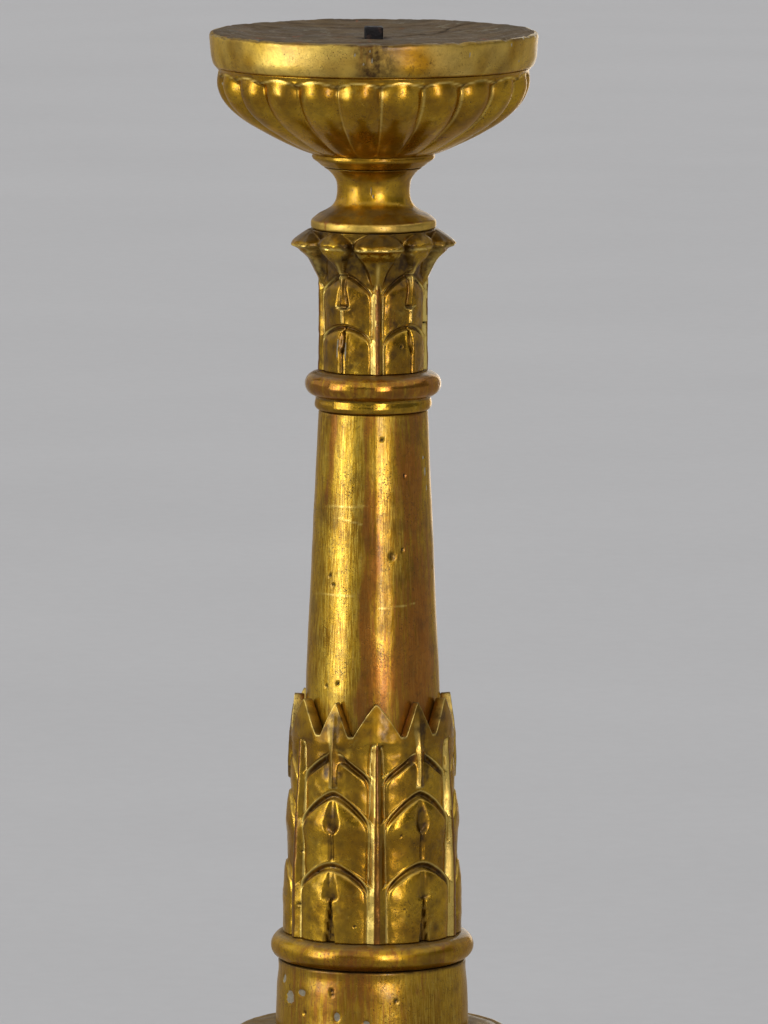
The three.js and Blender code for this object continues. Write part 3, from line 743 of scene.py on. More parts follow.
def capital():
    """Four leaves in two tiers, their tips and those of the leaves behind curling out."""
    low, top = span("capital")
    edges = [
        lambda s: low + 0 * s,
        lambda s: 601.0 - 10.0 * (1 - s) ** 2.0,
        lambda s: 629.8 - 13.0 * (1 - s) ** 1.5,
        lambda s: top + 0 * s,
    ]
    grid = Leaves(8 * 44, 4, 29 * math.pi / 4, edges, [46, 54, 66], [2, -1, 0, 0, 0, 0, 0, 6])
    z, side, rib, seam = grid.height, grid.side, grid.rib, grid.seam
    width = table(z, [(570, 3.4), (600, 2.8), (618, 2.2), (626, 0.01)])
    grid.framed(CAPITAL_CRESTS, CAPITAL_SPINE, width, width * 0.74, bevel=1.7, sunk=1.7, puff=2.3, flank_highlight=0.95)
    # the pillows darker away from the rib and the seams
    grid.mask(dirt=0.38 * ramp(rib, 6.5, 9) * ramp(z, 574, 578) * ramp(seam, 2.5, 6))
    facet = 1.5 * (1 - ((side - 0.52) / 0.52) ** 2)
    grid.radius -= (facet + 0.7 * side) * ramp(636 - z, 0, 12)

    # a broad tip on each rib, a smaller one over each seam and a hollow between them
    broad, small = table(z, BROAD_TIP_HALF), table(z, SMALL_TIP_HALF)
    curled_tip(grid, rib, broad, table(z, BROAD_TIP), 0.7)
    curled_tip(grid, seam, small, table(z, SMALL_TIP), 0.5)
    between = ramp(rib / broad, 1.0, 1.5) * ramp(seam / small, 1.0, 1.5) * ramp(z, 619, 630)
    grid.radius -= 1.7 * between * ramp(650 - z, 0, 8)
    ragged = ripples(np.stack([rib, z * 1.4, grid.turn * 0.4], -1), 5, 31)
    grid.radius += 0.55 * ragged * ramp(z, 637, 642) * ramp(646 - z, 0, 2)

    # lower eye: a dark slit with a drop-shaped hole; upper eye: a dart standing in a hollow
    slit = dome(seam, 0.75) * ramp(600 - z, 0, 2)
    hole = dome(seam, np.maximum(2.3 * dome(z - 591.5, 7.0), 0.05)) * (np.abs(z - 591.5) < 7.0)
    shoulder = bump(seam, 2.6, 1.6) * ramp(597 - z, 0, 3)
    hollow = scoop(seam, z, 609.6, 627.5, 5.6, 2.6)
    dart = within(1 - seam / (0.5 + 2.3 * within((626 - z) / 15)))
    dart = dart * ramp(z, 611.2, 612.0) * ramp(629 - z, 0, 3)
    smile = bump(z, 609.2 + 0.22 * seam**1.3, 0.9) * ramp(5.6 - seam, 0, 1.5)
    stem = within(1 - seam / 1.5) * ramp(609.6 - z, 0, 1) * ramp(z, 600.5, 602)
    grid.radius += -1.9 * slit - 2.2 * hole - hollow + 3.0 * dart + 0.5 * smile + 0.9 * stem + 0.3 * shoulder
    # painted shade in the hollows between the tips, in the slit, the drop-shaped hole and the upper eye's
    # hollow
    grid.mask(dirt=0.9 * between + 0.95 * np.maximum(hole, slit) + 0.30 * hollow * (1 - dart))
    flaked = bump(seam, 2.8, 1.1) * bump(z, 587, 14) * bump(grid.turn, 315, 60)
    # painted highlights along the eye's lower rim and on the raised stem below it
    grid.mask(edge=smile + 0.6 * stem, chip=0.95 * flaked)
    grid.shade_hollows(12, 1.7, 0.75)
    grid.handmade(0.12, 12, 32)
    grid.handmade(0.04, 5, 33)
    beetle_holes(grid, [(31, 589), (86, 600)], 0.7, 1.0)
    revolved("capital_carved", "capital", with_ends(grid, [(16.6, low)], [(18.4, top)]))


LEAF_CUP = 37.6  # inner radius behind the sleeve's free tips
LEAF_CUP_FLOOR = 372.0
SLEEVE_DRIFT = [0.5, 3, 5, 3.5, 2, 0, -1, 0, -1.5, -3, -4, -1]
SLEEVE_CRESTS = [
    [(258, 48.6), (290, 48.6), (300, 48.5), (308, 48.0)],
    [(288, 46.4), (308, 46.2), (316, 46.4), (324, 47.2), (334, 46.9), (347, 46.2)],
    [(325, 45.2), (347, 44.6), (352, 44.8), (360, 45.3), (367, 44.8)],
    [(352, 44.3), (366, 44.2), (374, 43.9), (380, 43.6), (387, 42.7), (395, 41.6)],
]
SLEEVE_SPINE = [(258, 48.5), (300, 48.2), (330, 46.9), (353, 45.3), (372, 44.2), (380, 43.6)]
BEHIND_CREST = [
    (345, 46.1), (348, 46.45), (352, 46.6), (360, 46.6), (368, 46.2), (376, 45.6), (386, 44.3), (395, 42.4),
]
BEHIND_FALL = [
    (345, 0.42), (348, 0.48), (352, 0.64), (359, 0.85), (366, 0.62), (372, 0.42), (378, 0.20), (395, 0.22),
]
BEHIND_STEM = [(346, 3.4), (349, 2.8), (353, 2.1), (359, 1.7), (366, 2.2), (372, 3.0), (380, 4.0), (395, 1.0)]


def leaf_tops(side):
    """Outline of the free tips: a broad tip on each rib and a narrow one on each seam."""
    main = 394.2 - 18.2 * within(side / 0.53) ** 1.25
    small = 394.4 - 18.4 * within((1 - side) / 0.345) ** 1.08
    return np.where(side < 0.6, main, small)


def leaf_sleeve():
    """Six leaves in three tiers with free tips standing off the column."""
    low = span("leaf_sleeve")[0]
    edges = [
        lambda s: low + 0 * s,
        lambda s: 307.2 - 18.0 * (1 - s) ** 1.7,
        lambda s: 346.4 - 21.0 * (1 - s) ** 1.5,
        lambda s: 367.0 - 15.5 * within((0.88 - s) / 0.88) ** 1.12,
        leaf_tops,
    ]
    grid = Leaves(12 * 42, 6, 46 * math.pi / 6, edges, [54, 54, 38, 42], SLEEVE_DRIFT)
    z, rib, seam = grid.height, grid.rib, grid.seam
    width = table(z, [(258, 4.5), (290, 3.9), (320, 3.4), (345, 3.0), (366, 2.5), (371, 2.0)])
    rib_half = width * ramp(372.5 - z, -1, 2) + 0.01
    leaf_form = {"bevel": 3.4, "sunk": 2.3, "puff": 1.9, "flank_highlight": 0.60}
    grid.framed(SLEEVE_CRESTS, SLEEVE_SPINE, rib_half, width * 0.76, **leaf_form)
    for key in ("edge", "rub", "dirt"):
        grid.masks[key] *= np.where((z > 354) & (z < 374), ramp(seam, 2.2, 3.4), 1)
    grid.radius += 0.5 * ramp(z, 366, 372) * (grid.tier == 3)

    # seam of the lowest tier: slot, ledge and scoop
    slot_half = 0.8 + 2.1 * within((285 - z) / 24)
    slot = within((slot_half - seam) / 0.55) * ramp(286.5 - z, 0, 1.2)
    low_eye = scoop(seam, z, 285.6, 304.5, 5.4, 1.9, 0.12)
    flutes = 0.25 * np.cos(seam * 3.6) * ramp(low_eye, 0, 0.5) * ramp(z, 290, 297)
    # middle tier: wide drop with a hard lower edge, and a thread down to the next leaf
    slant = seam * np.where((grid.turn + 15) % 60 > 30, 1.0, 0.62)
    eye = scoop(slant, z, 322.5, 344.0, 6.0, 2.8, 0.35)
    thread = dome(seam, 1.3) * ramp(z, 306.5, 308.5) * ramp(323.5 - z, 0, 1.5)
    grid.radius += -3.6 * slot - low_eye + flutes - eye - 1.0 * thread

    # narrow leaf behind, a roof-shaped ridge from its foot to its tip
    foot = 346.8 + 0.09 * seam**2
    over = ramp(z - foot, 0, 0.9)
    beside = ramp(z - foot, 1, 12) * within(1 - (seam / 10.0) ** 2) * ramp(374 - z, 0, 8)
    grid.radius -= 0.4 * beside
    roof_line = table(z, BEHIND_CREST) - table(z, BEHIND_FALL) * seam
    ridge = over * np.clip(roof_line - grid.radius, 0, None)
    grid.radius += ridge
    free = ramp(z, 371, 377)
    keel = within(1 - rib / 13) * ramp(z, 370, 376)
    grid.radius += 0.25 * keel

    stem = over * ramp(391 - z, 0, 16) * ramp(table(z, BEHIND_STEM) - seam, 0, 0.5)
    grid.mask(matt=0.9 * free, rub=0.25 * keel + 0.35 * within(ridge / 2))
    # painted highlights on each stem's left flank, along its foot and along the tips' top edges
    grid.mask(edge=0.42 * stem * ~grid.leftward + 0.6 * bump(z, foot + 0.7, 0.8) * (seam < 2.6))
    grid.mask(edge=0.8 * bump(leaf_tops(grid.side) - z, 0.2, 1.0))
    # painted shade in the slots, scoops, thread and gullies and on each stem's right flank; the free tips
    # darker
    grid.mask(dirt=0.9 * slot + 0.50 * low_eye + 0.42 * eye + 0.5 * thread + 0.7 * beside * (ridge < 0.05))
    grid.mask(dirt=0.85 * bump(seam, 4.3, 2.2) * ramp(z, 350, 355) * ramp(366 - z, 0, 6))
    grid.mask(dirt=0.6 * stem * grid.leftward + 0.34 * free)
    grid.shade_hollows(12, 2.0, 0.7)
    grid.handmade(0.16, 17, 41)
    grid.handmade(0.05, 6, 42)
    beetle_holes(grid, [(3.2, 370.6), (-59.5, 310), (-59, 281), (-14, 272), (-44, 300), (17, 322)], 0.6, 1.2)

    # thick walls of the tips, the cup behind them and the hidden mortise
    top, last = z[-1], grid.radius[-1]
    steps = ((0.93, -0.05), (0.1, 0.2), (0.0, 0.7))
    wall = [(LEAF_CUP + (last - LEAF_CUP) * share, top - drop) for share, drop in steps]
    cup = [(LEAF_CUP, LEAF_CUP_FLOOR + 1), (LEAF_CUP, LEAF_CUP_FLOOR), (18.4, LEAF_CUP_FLOOR)]
    whole = with_ends(grid, [(20.6, low)], wall + cup)
    # the walls and the cup behind the tips painted dark: painted shade, with clay showing
    for key, value in (("edge", 0), ("rub", 0.7), ("dirt", 0.62)):
        whole.masks[key][-5:] = value
    revolved("leaf_sleeve_carved", "leaf_sleeve", whole)


# ---- rings, column, drum, disc
def upper_ring():
    """Astragal over a fillet, rubbed down to the red clay."""
    low, top = span("upper_ring")
    outline = [(16.5, low), (30.9, low)]
    outline += sweep((31.2, low + 0.5), (32.0, 553.9), (32.2, 555.6), (31.8, 557.4), (31.5, 558.9), steps=6)
    outline += arc(30.8, 566.4, 6.6, -78, 84, 22) + [(30.6, top), (16.5, top)]
    grid, _, z = turned_grid(outline, 320, 0.5)
    grid.handmade(0.13, 17, 51)
    grid.mask(rub=0.85 * ramp(z, 559, 561) * (0.75 + 0.25 * np.sin(np.radians(grid.turn - 30))))
    # painted shade in the crease over the fillet and where the ring meets the capital
    grid.mask(dirt=0.85 * bump(z, 559.2, 1.4) + 0.6 * ramp(z, 571.4, 573.2))
    beetle_holes(grid, [(72, 567)], 0.6, 0.9)
    revolved("upper_ring_turned", "upper_ring", grid, [GILT_RUBBED])


COLUMN_NECK = 30.0
COLUMN_TAPER = 0.0447
# laps of the gold leaf: height, first and last angle, and rise in millimetres per degree
LEAF_LAPS = [
    (500.5, -64, -6, 0.03), (495.5, -40, -12, -0.12), (452, -70, -20, 0.02), (446, 2, 40, 0.05),
    (533, 120, 170, 0.04),
]


def column():
    """Smooth tapered shaft with streaks of clay, laps in the leaf, holes and a filled knot."""
    low, top = span("column")
    shoulder = span("upper_ring")[0] - 0.3
    outline = [(17.9, low), (17.9, LEAF_CUP_FLOOR), (37.2, LEAF_CUP_FLOOR), (36.9, 394.0)]
    outline += [(COLUMN_NECK + (shoulder - z) * COLUMN_TAPER, z) for z in np.linspace(400, shoulder - 2, 30)]
    outline += [(COLUMN_NECK, shoulder), (16, shoulder), (16, top)]
    grid, r, z = turned_grid(outline, 300, 0.92, 1)
    shaft = (r > 25) & (z > 374)
    lengthwise = np.stack([grid.turn * 0.55, z * 0.03, grid.turn * 0], -1)
    r += shaft * (0.10 * grid.ripples(40, 61) + 0.05 * ripples(lengthwise, 9, 62))
    turn = turned_from(grid.turn, 0)
    wander = turn + 5 * grid.ripples(60, 63)
    bare = bump(wander, 44, 42) + 0.95 * bump(wander, -8, 14) + 0.6 * bump(wander, 175, 60)
    bare += 0.95 * bump(wander, -54, 13) * ramp(z, 480, 515)
    bare += 0.7 * bump(wander, 2, 30) * ramp(440 - z, 0, 40)
    grid.mask(rub=shaft * 0.95 * bare, matt=0.5 * shaft, brush=shaft)
    for level, start, end, tilt in LEAF_LAPS:
        lap = bump(z, level + tilt * (turn - start), 0.8) * (turn > start) * (turn < end)
        grid.mask(edge=0.60 * shaft * lap * (0.6 + 0.4 * grid.ripples(6, 64)))
        r += 0.06 * shaft * lap
    # painted shade under the ring and low down among the leaves' tips
    grid.mask(dirt=shaft * (0.55 * ramp(z, shoulder - 1.6, shoulder - 0.2) + 0.45 * ramp(400 - z, 0, 14)))
    holes = [(-46, 463), (-42, 458), (-34, 404), (7, 538.5), (31, 518.5), (27, 478), (71, 466), (-46, 402)]
    beetle_holes(grid, holes, 0.75, 1.4)
    chips(grid, [(60, 527, 1.5, 1.3), (63, 519, 1.6, 3.2), (66, 510, 1.3, 2.0), (-86, 496, 1.8, 4.5)], 0.45)
    knot = np.hypot(grid.across(16), (z - 474.5) * 0.8)
    r -= 0.6 * ramp(2.6 - knot, 0, 1.6) * shaft
    grid.mask(hole=0.55 * ramp(2.4 - knot, 0, 1.4) * shaft)
    revolved("column_turned", "column", grid)


def lower_ring():
    low, top = span("lower_ring")
    outline = [(20.5, low), (47.6, low)] + arc(48.5, (low + top) / 2, 7.45, -96, 92, 30)
    outline += [(46, top), (20.5, top)]
    grid, _, z = turned_grid(outline, 360, 0.55)
    grid.handmade(0.14, 23, 71)
    # painted shade where the ring meets the pieces below and above
    grid.mask(rub=0.25, matt=0.3, dirt=0.6 * ramp(249 - z, 0, 2) + 0.75 * ramp(z, 260.6, 261.8))
    revolved("lower_ring_turned", "lower_ring", grid)


def drum():
    """Plain turned drum, chipped down to the gesso."""
    low, top = span("drum")
    shoulder, foot = span("lower_ring")[0] - 0.3, span("base_disc")[1] + 0.3
    outline = [(23.9, low), (23.9, foot)]
    outline += sweep((53.0, foot), (53.2, 210), (53.0, 220), (52.4, 234), (51.6, 243), (51.9, shoulder))
    outline += [(19.9, shoulder), (19.9, top)]
    grid, r, z = turned_grid(outline, 330, 0.85, 1)
    face = (r > 45) & (z > foot - 1)
    r += face * 0.16 * grid.ripples(28, 81)
    # a little darker all over, with painted shade under the lower ring and at the foot against the disc
    darkening = 0.15 + 0.8 * ramp(z, shoulder - 2.2, shoulder - 0.2) + 0.7 * ramp(foot + 2.5 - z, 0, 2)
    grid.mask(rub=face * 0.25, dirt=face * darkening, matt=face * 0.4, brush=face * 0.7)
    spots = [(-62, 229, 5.5, 5.0), (-50, 233, 4.5, 2.5), (-71, 238, 2.6, 3.4), (-24, 222, 2.4, 3.6)]
    spots += [(-14, 214, 4.4, 3.4), (-6, 219, 2.4, 2.2), (-18, 210, 3.0, 2.2), (150, 226, 5.0, 4.0)]
    spots += [(118, 215, 3.4, 3.0)]
    chips(grid, spots, 0.5)
    beetle_holes(grid, [(-28, 236), (-27.4, 234), (-47, 222), (-18, 209), (12, 231)], 0.8, 1.6)
    revolved("drum_turned", "drum", grid)


def base_disc():
    low, top = span("base_disc")
    outline = [(24.6, low), (70, low)] + arc(72, low + 4, 4, -80, 0, 8) + arc(73.6, top - 2.4, 2.4, 0, 90, 8)
    worn_top = [(73.6, 0), (72.2, 0.5), (70.5, 0.35), (60, 0.1), (54, 0.05)]
    outline += sweep(*((r, top - drop) for r, drop in worn_top), steps=5) + [(24.6, top - 0.05)]
    grid, r, z = turned_grid(outline, 400, 0.8)
    r += 0.2 * grid.ripples(36, 91) * (r > 50)
    z += 0.08 * grid.ripples(15, 92)
    # painted shade along the bottom edge, where the disc meets the collar
    grid.mask(rub=0.55 * bump(r, 74.6, 1.8) + 0.15, dirt=0.8 * ramp(low + 1.5 - z, 0, 1.2))
    grid.mask(dirt=0.8 * ramp(z, top - 1.2, top - 0.5) * ramp(73.2 - r, 0, 1.6))
    chips(grid, [(-25, 200, 3.0, 2.2), (96, 203, 3.5, 2.4), (205, 199, 4.5, 2.8)], 0.4)
    revolved("base_disc_turned", "base_disc", grid)


def base_collar():
    """Hollow moulding between the disc and the pedestal, a fillet above and below it."""
    low, top = span("base_collar")
    bead = [(45.4, 0), (46.4, 1.2), (46.4, 3)]
    hollow = [(47.6, 8.6), (51.6, 12.8), (57.4, 16.0), (61.5, 16.9)]
    outline = [(24.6, 0)] + sweep(*bead, (46.0, 4.4), steps=4) + sweep((46.0, 4.4), *hollow)
    outline = [(r, low + z) for r, z in outline + [(63.4, 17.0), (64.0, 17.6)]]
    outline += [(64.0, top - 0.4), (63.4, top), (24.6, top)]
    grid, r, z = turned_grid(outline, 320, 0.7)
    grid.handmade(0.14, 24, 101)
    grid.mask(rub=0.3 * bump(r, 64, 1.2) + 0.1)
    # painted shade where the collar meets the plinth and the disc
    grid.mask(dirt=0.6 * ramp(low + 1.6 - z, 0, 1.2) + 0.5 * ramp(z, top - 1.2, top))
    revolved("base_collar_turned", "base_collar", grid)


# ---- three-sided pedestal
PLINTH_PLAN = np.array([98.0, 22.0, 62.0])  # reach, half corner, waist
BOARD_PLAN = np.array([108.0, 27.0, 70.0])
BOARD_INSET = np.array([1.0, 0.62, 1.0])  # how much of each a step inwards takes off
PLINTH_TOP_SCALE = 0.68
PANEL_EDGE = 0.80  # share of half a side that the sunk panel covers


def triform(plan, rounding, corner_steps=14, side_steps=64):
    """Three-sided outline, with each point's share along its corner or side and whether it is on a side."""
    reach, corner, waist = plan
    chord = corner * math.cos(math.pi / 6) + reach * math.sin(math.pi / 6)
    along_corner, along_side = (np.arange(steps) / steps for steps in (corner_steps, side_steps))
    line = []
    for k in range(3):
        spots = [(corner, reach, 0), (-corner, reach, 0), (0, 2 * waist - chord, 60), (corner, reach, 120)]
        turns = [math.radians(120 * k + turn) for _, _, turn in spots]
        start, end, middle, beyond = [
            np.array([x * math.cos(a) - y * math.sin(a), x * math.sin(a) + y * math.cos(a)])
            for (x, y, _), a in zip(spots, turns)
        ]
        line += [start + (end - start) * t for t in along_corner]
        line += [(1 - t) ** 2 * end + 2 * t * (1 - t) * middle + t * t * beyond for t in along_side]
    line = np.array(line)
    for _ in range(rounding):
        line = (np.roll(line, 1, 0) + 2 * line + np.roll(line, -1, 0)) / 4
    share = np.tile(np.concatenate([2 * along_corner - 1, 2 * along_side - 1]), 3)
    return line, share, np.tile(np.repeat([False, True], [corner_steps, side_steps]), 3)


def lofted(name, node, outlines, heights, **marks):
    """Closed piece from one closed outline per height."""
    grid = Grid(np.zeros(outlines.shape[:2]), heights[:, None], 0)
    grid.mask(**marks)
    revolved(name, node, grid, points=np.concatenate([outlines, grid.height[..., None]], -1))


def plinth_scale(rise):
    """Size of the plinth's outline at a share of its height, over its size at the foot."""
    return PLINTH_TOP_SCALE + (1 - PLINTH_TOP_SCALE) * (1 - rise) ** 2


def plinth():
    """Sides with a raised border round a sunk panel, sweeping in towards the top."""
    low, top = span("plinth")
    outline, share, is_side = triform(PLINTH_PLAN, 2)
    inward = -outline / np.linalg.norm(outline, axis=1)[:, None]
    heights = np.concatenate([[low], np.linspace(low + 0.4, top - 0.4, 112), [top]])
    z, away = heights[:, None], np.abs(share)
    panel = np.where(is_side, ramp(PANEL_EDGE - away, 0, 0.035), 0)
    flute = np.where(is_side, 0, ramp(0.55 - away, 0, 0.12))
    up = ramp(z, low + 10, low + 12.2) * ramp(top - 9 - z, 0, 2.2)
    sunk = 2.0 * panel * up + 1.5 * flute * up
    proud = np.where(is_side, bump(away, PANEL_EDGE + 0.03, 0.05), bump(away, 0.6, 0.12))
    outlines = outline * plinth_scale((z - low) / (top - low))[..., None] + inward * sunk[..., None]
    rub = 0.35 * proud * up + 0.5 * ~is_side * (away > 0.9) + 0.12
    # painted shade along the edge of each sunk panel and where the plinth meets the board and the collar
    dirt = 0.65 * np.where(is_side, bump(away, PANEL_EDGE - 0.035, 0.03), 0) * up
    dirt = dirt + 0.6 * (ramp(low + 3 - z, 0, 3) + ramp(z, top - 2, top))
    lofted("plinth_carved", "plinth", outlines, heights, rub=rub, dirt=dirt)


def bottom_board():
    """Board with an ovolo, a fillet and a hollow worked along its edge."""
    low, top = span("bottom_board")
    edge = [
        (6.0, 0), (3.0, 0), (1.6, 0.5), (0.6, 1.8), (0.2, 3.4), (0.6, 5.2), (1.8, 6.6), (2.6, 7.0),
        (2.8, 7.6), (1.2, 7.9), (1.0, 8.6), (1.0, 10.4), (1.4, 10.9), (3.0, 11.1), (3.3, 12.4),
        (4.6, 14.2), (6.6, 15.4),
        (8.2, top - low - 0.3), (9.2, top - low), (14.0, top - low), (24, top - low),
    ]
    line = softened(edge, 0.5, 1)
    outlines = np.array([triform(BOARD_PLAN - BOARD_INSET * inset, 3)[0] for inset in line[:, 0]])
    up = line[:, 1:]
    # painted shade in the hollows of the moulding and along its foot
    dirt = 0.7 * bump(up, 7.4, 1.0) + 0.6 * bump(up, 11.2, 0.9) + 0.5 * ramp(1 - up, 0, 1)
    rub = 0.5 * bump(up, 4, 2.6) + 0.5 * bump(up, 9.5, 1.6)
    lofted("bottom_board_moulded", "bottom_board", outlines, line[:, 1] + low, rub=rub, dirt=dirt)


# ---- rosettes
PETALS = 8
FLOWER_HEIGHT = 112.0
FLOWER_RADIUS = 20.9
FLOWER_SEAT = 1.6  # how far the flower's back is let into the plinth


def rosette_frame(turn):
    """Matrix from a flower's own frame, facing +Z, to its seat on the side at that angle."""
    low, top = span("plinth")
    away = [PLINTH_PLAN[2] * plinth_scale((FLOWER_HEIGHT + d - low) / (top - low)) for d in (-0.5, 0, 0.5)]
    lean = math.atan(away[0] - away[2])
    seat = Matrix.Translation((0, FLOWER_SEAT - away[1], FLOWER_HEIGHT))
    return Matrix.Rotation(math.radians(turn), 4, "Z") @ seat @ Matrix.Rotation(math.pi / 2 - lean, 4, "X")


def rosette(name, node, turn_on_base):
    """Two rings of petals round a notched button."""
    rim = np.concatenate([np.linspace(4, FLOWER_RADIUS, 6), np.linspace(20.6, 0.9, 74)])
    grid = Grid(rim[:, None], 0, around(PETALS * 26))
    petal = 360 / PETALS
    across, behind = ((grid.turn + shift) % petal / (petal / 2) - 1 for shift in (petal / 2, 0))
    notch = 1.2 * (1 - within(np.abs(across) * 9))
    rho = np.minimum(grid.radius, FLOWER_RADIUS - 2.9 * (1 - dome(across, 1.12)) - notch)
    face = 2.4 + 2.6 * dome(np.clip((rho - 12.5) / 9.2, -1, 1), 1.05) * dome(across, 1.2)
    face -= 0.9 * within(1 - np.abs(across) * 7) * ramp(rho, 8, 11) * ramp(20 - rho, 0, 3)
    small = 2.0 * dome(np.clip((rho - 8.2) / 4.4, -1, 1), 1.0) * dome(behind, 1.15)
    notches = 0.35 * np.cos(np.radians(grid.turn) * 12) * ramp(5 - rho, 0, 2) * ramp(rho, 1, 3)
    button = np.where(rho < 5.4, 5.2 * dome(rho, 5.4) + notches - 0.8, 0)
    height = face + small * ramp(rho, 3.4, 4.6) + button
    height *= ramp(21.0 - rho, -0.2, 1.2) * 0.6 + 0.4
    height[:5] = 0.0  # the flat back
    grid.radius, grid.height = rho, height
    proud = height - blur(height, 4, 3)
    # rubbed on the proud places; painted shade in the hollows
    grid.mask(rub=within(proud / 0.25) + 0.15, dirt=within(-proud / 0.22))
    matrix = np.array(rosette_frame(turn_on_base))
    revolved(name, node, grid, points=grid.points() @ matrix[:3, :3].T + matrix[:3, 3])


# ---- lion paws
def ball(centre, size, tilt=0.0):
    bpy.ops.mesh.primitive_uv_sphere_add(segments=32, ring_count=20, radius=1)
    turned = Matrix.Translation(centre) @ Matrix.Rotation(math.radians(tilt), 4, "X")
    bpy.context.object.matrix_world = turned @ Matrix.Diagonal((*size, 1))
    return bpy.context.object


def claw(x, y):
    bpy.ops.mesh.primitive_cone_add(vertices=20, radius1=2.6, radius2=0.5, depth=9)
    tilt = Matrix.Rotation(math.radians(-112), 4, "X")
    bpy.context.object.matrix_world = Matrix.Translation((x, y, 4.6)) @ tilt
    return bpy.context.object


def joined(parts):
    bpy.ops.object.select_all(action="DESELECT")
    for part in parts:
        part.select_set(True)
    bpy.context.view_layer.objects.active = parts[0]
    bpy.ops.object.transform_apply(location=True, rotation=True, scale=True)
    bpy.ops.object.join()
    return bpy.context.object


def paw_mesh():
    """Points and faces of a lion's paw facing +Y under the rear corner, in millimetres about the axis."""
    parts = []
    for x in (-17.5, -6.0, 6.0, 17.5):
        splay = 1.5 - abs(x) * 0.26
        parts.append(ball((x, 104.5 + splay, 8.6), (6.7, 11.8, 9.2), 14))
        parts.append(ball((x * 0.93, 97.0 + splay, 14.5), (6.4, 9.5, 9.6), -24))
        parts.append(claw(x, 113.2 + splay))
    parts.append(ball((0, 88, 12), (22, 20, 16)))
    parts.append(ball((0, 84, 26), (17.5, 16, 17)))
    parts.append(ball((0, 84.5, 43), (21, 19, 9)))
    for k in range(-3, 4):
        parts.append(ball((k * 5.2, 84 + 13.5 * math.cos(k * 0.36), 32 - abs(k) * 0.8), (3.1, 3.6, 10.5), 8))
    whole = joined(parts)
    remesh = whole.modifiers.new("voxels", "REMESH")
    remesh.mode = "VOXEL"
    remesh.voxel_size = 1.15
    smooth = whole.modifiers.new("soft", "SMOOTH")
    smooth.factor = 0.5
    smooth.iterations = 4
    bpy.context.view_layer.update()
    mesh = bpy.data.meshes.new_from_object(whole.evaluated_get(bpy.context.evaluated_depsgraph_get()))
    bpy.data.objects.remove(whole)
    points = np.array([vertex.co for vertex in mesh.vertices], float)
    points[:, 2] = np.clip(points[:, 2], 0, span("paw_foot_rear")[1])
    faces = [list(face.vertices) for face in mesh.polygons]
    bpy.data.meshes.remove(mesh)
    return points, faces


def beside_mean(values, quads):
    """Mean of each point's neighbours round the quads."""
    total, count = np.zeros_like(values), np.zeros(len(values))
    for k in range(4):
        np.add.at(total, quads[:, k], values[quads[:, (k + 1) % 4]])
        np.add.at(count, quads[:, k], 1)
    return total / np.maximum(count, 1)[:, None]


def vertex_wear_and_shade(points, faces):
    """Proud and hollow places of a free mesh, from each point's height over its neighbours: the proud ones
    for rubbing, the hollow ones for painted shade.
    """
    quads = np.array([face for face in faces if len(face) == 4])
    mean = points
    for _ in range(4):
        mean = beside_mean(mean, quads)
    a, b, c, d = points[quads].transpose(1, 0, 2)
    normals = np.zeros_like(points)
    for k in range(4):
        np.add.at(normals, quads[:, k], np.cross(c - a, d - b))
    normals /= np.maximum(np.linalg.norm(normals, axis=1), 1e-9)[:, None]
    proud = ((points - mean) * normals).sum(1)
    return within(proud / 0.35), within(-proud / 0.22)


def paws():
    points, faces = paw_mesh()
    rub, dirt = vertex_wear_and_shade(points, faces)
    masks = {"rub": within(rub * 0.8 + 0.2), "dirt": dirt}
    for side, turn in (("rear", 0), ("left", 120), ("right", 240)):
        spin = np.array(Matrix.Rotation(math.radians(turn), 3, "Z"))
        piece(f"lion_paw_{side}", f"paw_foot_{side}", points @ spin.T, faces, masks, [GILT])


# ---- floor, lights and camera
FLOOR_FLAT, FLOOR_END, FLOOR_RISE = 12.0, 34.0, 4.2  # metres
FLOOR_DARK, FLOOR_LIGHT = (0.55, 0.545, 0.55), (0.63, 0.625, 0.63)
WORLD_COLOUR = (0.120, 0.122, 0.126, 1)


def studio():
    """Pale floor, level round the object and rising gently far away, so that it is also the backdrop."""
    reach = np.concatenate([[0.0], np.linspace(1, FLOOR_FLAT, 4), np.linspace(FLOOR_FLAT + 1, FLOOR_END, 30)])
    rise = FLOOR_RISE * (np.clip(reach - FLOOR_FLAT, 0, None) / (FLOOR_END - FLOOR_FLAT)) ** 2
    turn = np.radians(around(96))
    points = [(r * math.cos(a), r * math.sin(a), z) for r, z in zip(reach, rise) for a in turn]
    s = Shade("pale_floor")
    colour = s.mix(s.noise(2.2, 4) * 0.6 + s.noise(60, 4) * 0.4, FLOOR_DARK, FLOOR_LIGHT)
    material = s.finish(colour, 0.9, Specular_IOR_Level=0.0)
    smooth_mesh("floor", points, grid_faces(len(reach), len(turn)), [material])
    world = bpy.data.worlds.new("studio")
    scene.world = world
    world.use_nodes = True
    world.node_tree.nodes["Background"].inputs[0].default_value = WORLD_COLOUR


def area_light(name, azimuth, distance, height, size, power, colour):
    """Soft light at an azimuth from the front of the object, in metres and watts."""
    light = bpy.data.lights.new(name, "AREA")
    light.shape = "RECTANGLE"
    light.size, light.size_y = size
    light.energy = power
    light.color = colour
    obj = linked(name, light)
    a = math.radians(azimuth)
    obj.location = (AXIS_X + distance * math.sin(a), AXIS_Y - distance * math.cos(a), height)
    obj.rotation_euler = (Vector((AXIS_X, AXIS_Y, 0.5)) - obj.location).to_track_quat("-Z", "Y").to_euler()
    obj.visible_camera = False
    obj.visible_diffuse = False  # shines in the gold only, so that the floor stays even


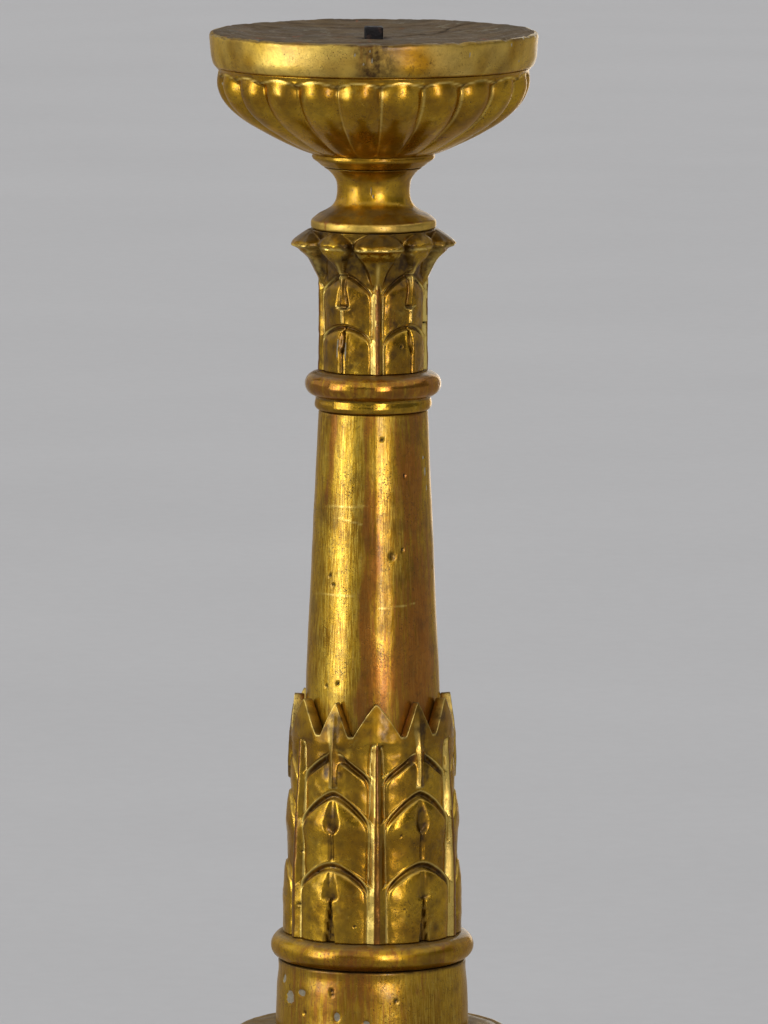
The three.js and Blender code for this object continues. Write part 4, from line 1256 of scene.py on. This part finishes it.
def distant_light(name, azimuth, elevation, width, strength):
    """Even light over the whole floor, from a soft patch of sky width degrees across."""
    light = bpy.data.lights.new(name, "SUN")
    light.energy = strength
    light.angle = math.radians(width)
    tilt = Matrix.Rotation(math.radians(90 - elevation), 4, "X")
    linked(name, light).matrix_world = Matrix.Rotation(math.radians(azimuth), 4, "Z") @ tilt


def lights():
    area_light("window_left", -66, 1.9, 0.98, (1.35, 1.9), 15.0, (0.98, 1.0, 1.0))
    area_light("window_left_pane", -64, 1.85, 0.80, (0.48, 1.2), 7.4, (1.0, 1.0, 1.0))
    area_light("window_front", 16, 2.7, 0.98, (0.95, 1.9), 16.5, (1.0, 0.92, 0.95))
    area_light("window_front_pane", 15, 2.65, 0.80, (0.34, 1.2), 8.8, (1.0, 0.90, 0.94))
    area_light("window_rear", 165, 2.7, 0.98, (0.95, 1.9), 9.0, (1.0, 0.98, 0.94))
    distant_light("overhead", 0, 82, 120, 1.95)
    distant_light("side_fill", 128, 12, 40, 0.16)
    distant_light("back_fill", -152, 12, 40, 0.20)
    distant_light("left_fill", -112, 14, 40, 0.32)


CAMERA_TURN = math.radians(-2.5)
CAMERA_ROLL = math.radians(0.1)
CAMERA_AWAY, CAMERA_HEIGHT, AIM_HEIGHT, AIM_RIGHT = 5.280, 1.176, 0.495, 0.0061  # metres


def camera():
    """Long lens, a little above the pan, turned slightly to the left of the front."""
    data = bpy.data.cameras.new("camera")
    data.lens = 340.3
    data.sensor_width = 36
    data.clip_end = 200
    obj = linked("camera", data)
    across, forward = math.sin(CAMERA_TURN), math.cos(CAMERA_TURN)
    obj.location = (AXIS_X + CAMERA_AWAY * across, AXIS_Y - CAMERA_AWAY * forward, CAMERA_HEIGHT)
    target = Vector((AXIS_X + AIM_RIGHT * forward, AXIS_Y + AIM_RIGHT * across, AIM_HEIGHT))
    look = (target - obj.location).to_track_quat("-Z", "Y").to_matrix()
    obj.rotation_euler = (look @ Matrix.Rotation(CAMERA_ROLL, 3, "Z")).to_euler()
    scene.camera = obj
    scene.view_settings.view_transform = "Standard"
    scene.view_settings.gamma = 0.93


# ---- build
camera()
studio()
lights()
pricket()
pan()
gadroon_bowl()
neck()
capital()
upper_ring()
column()
leaf_sleeve()
lower_ring()
drum()
base_disc()
base_collar()
plinth()
bottom_board()
FACES = ("front", "rear_right", "rear_left")
for face, turn in zip(FACES, (0, 120, 240)):
    rosette(f"flower_{face}", f"rosette_{face}", turn)
paws()
coats = {f"foot_dowel_{corner}": DOWEL for corner in ("rear", "left", "right")}
coats.update({f"board_nail_{face}": IRON for face in FACES})
for node, coat in coats.items():
    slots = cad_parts[node].data.materials
    slots.clear()
    slots.append(coat)
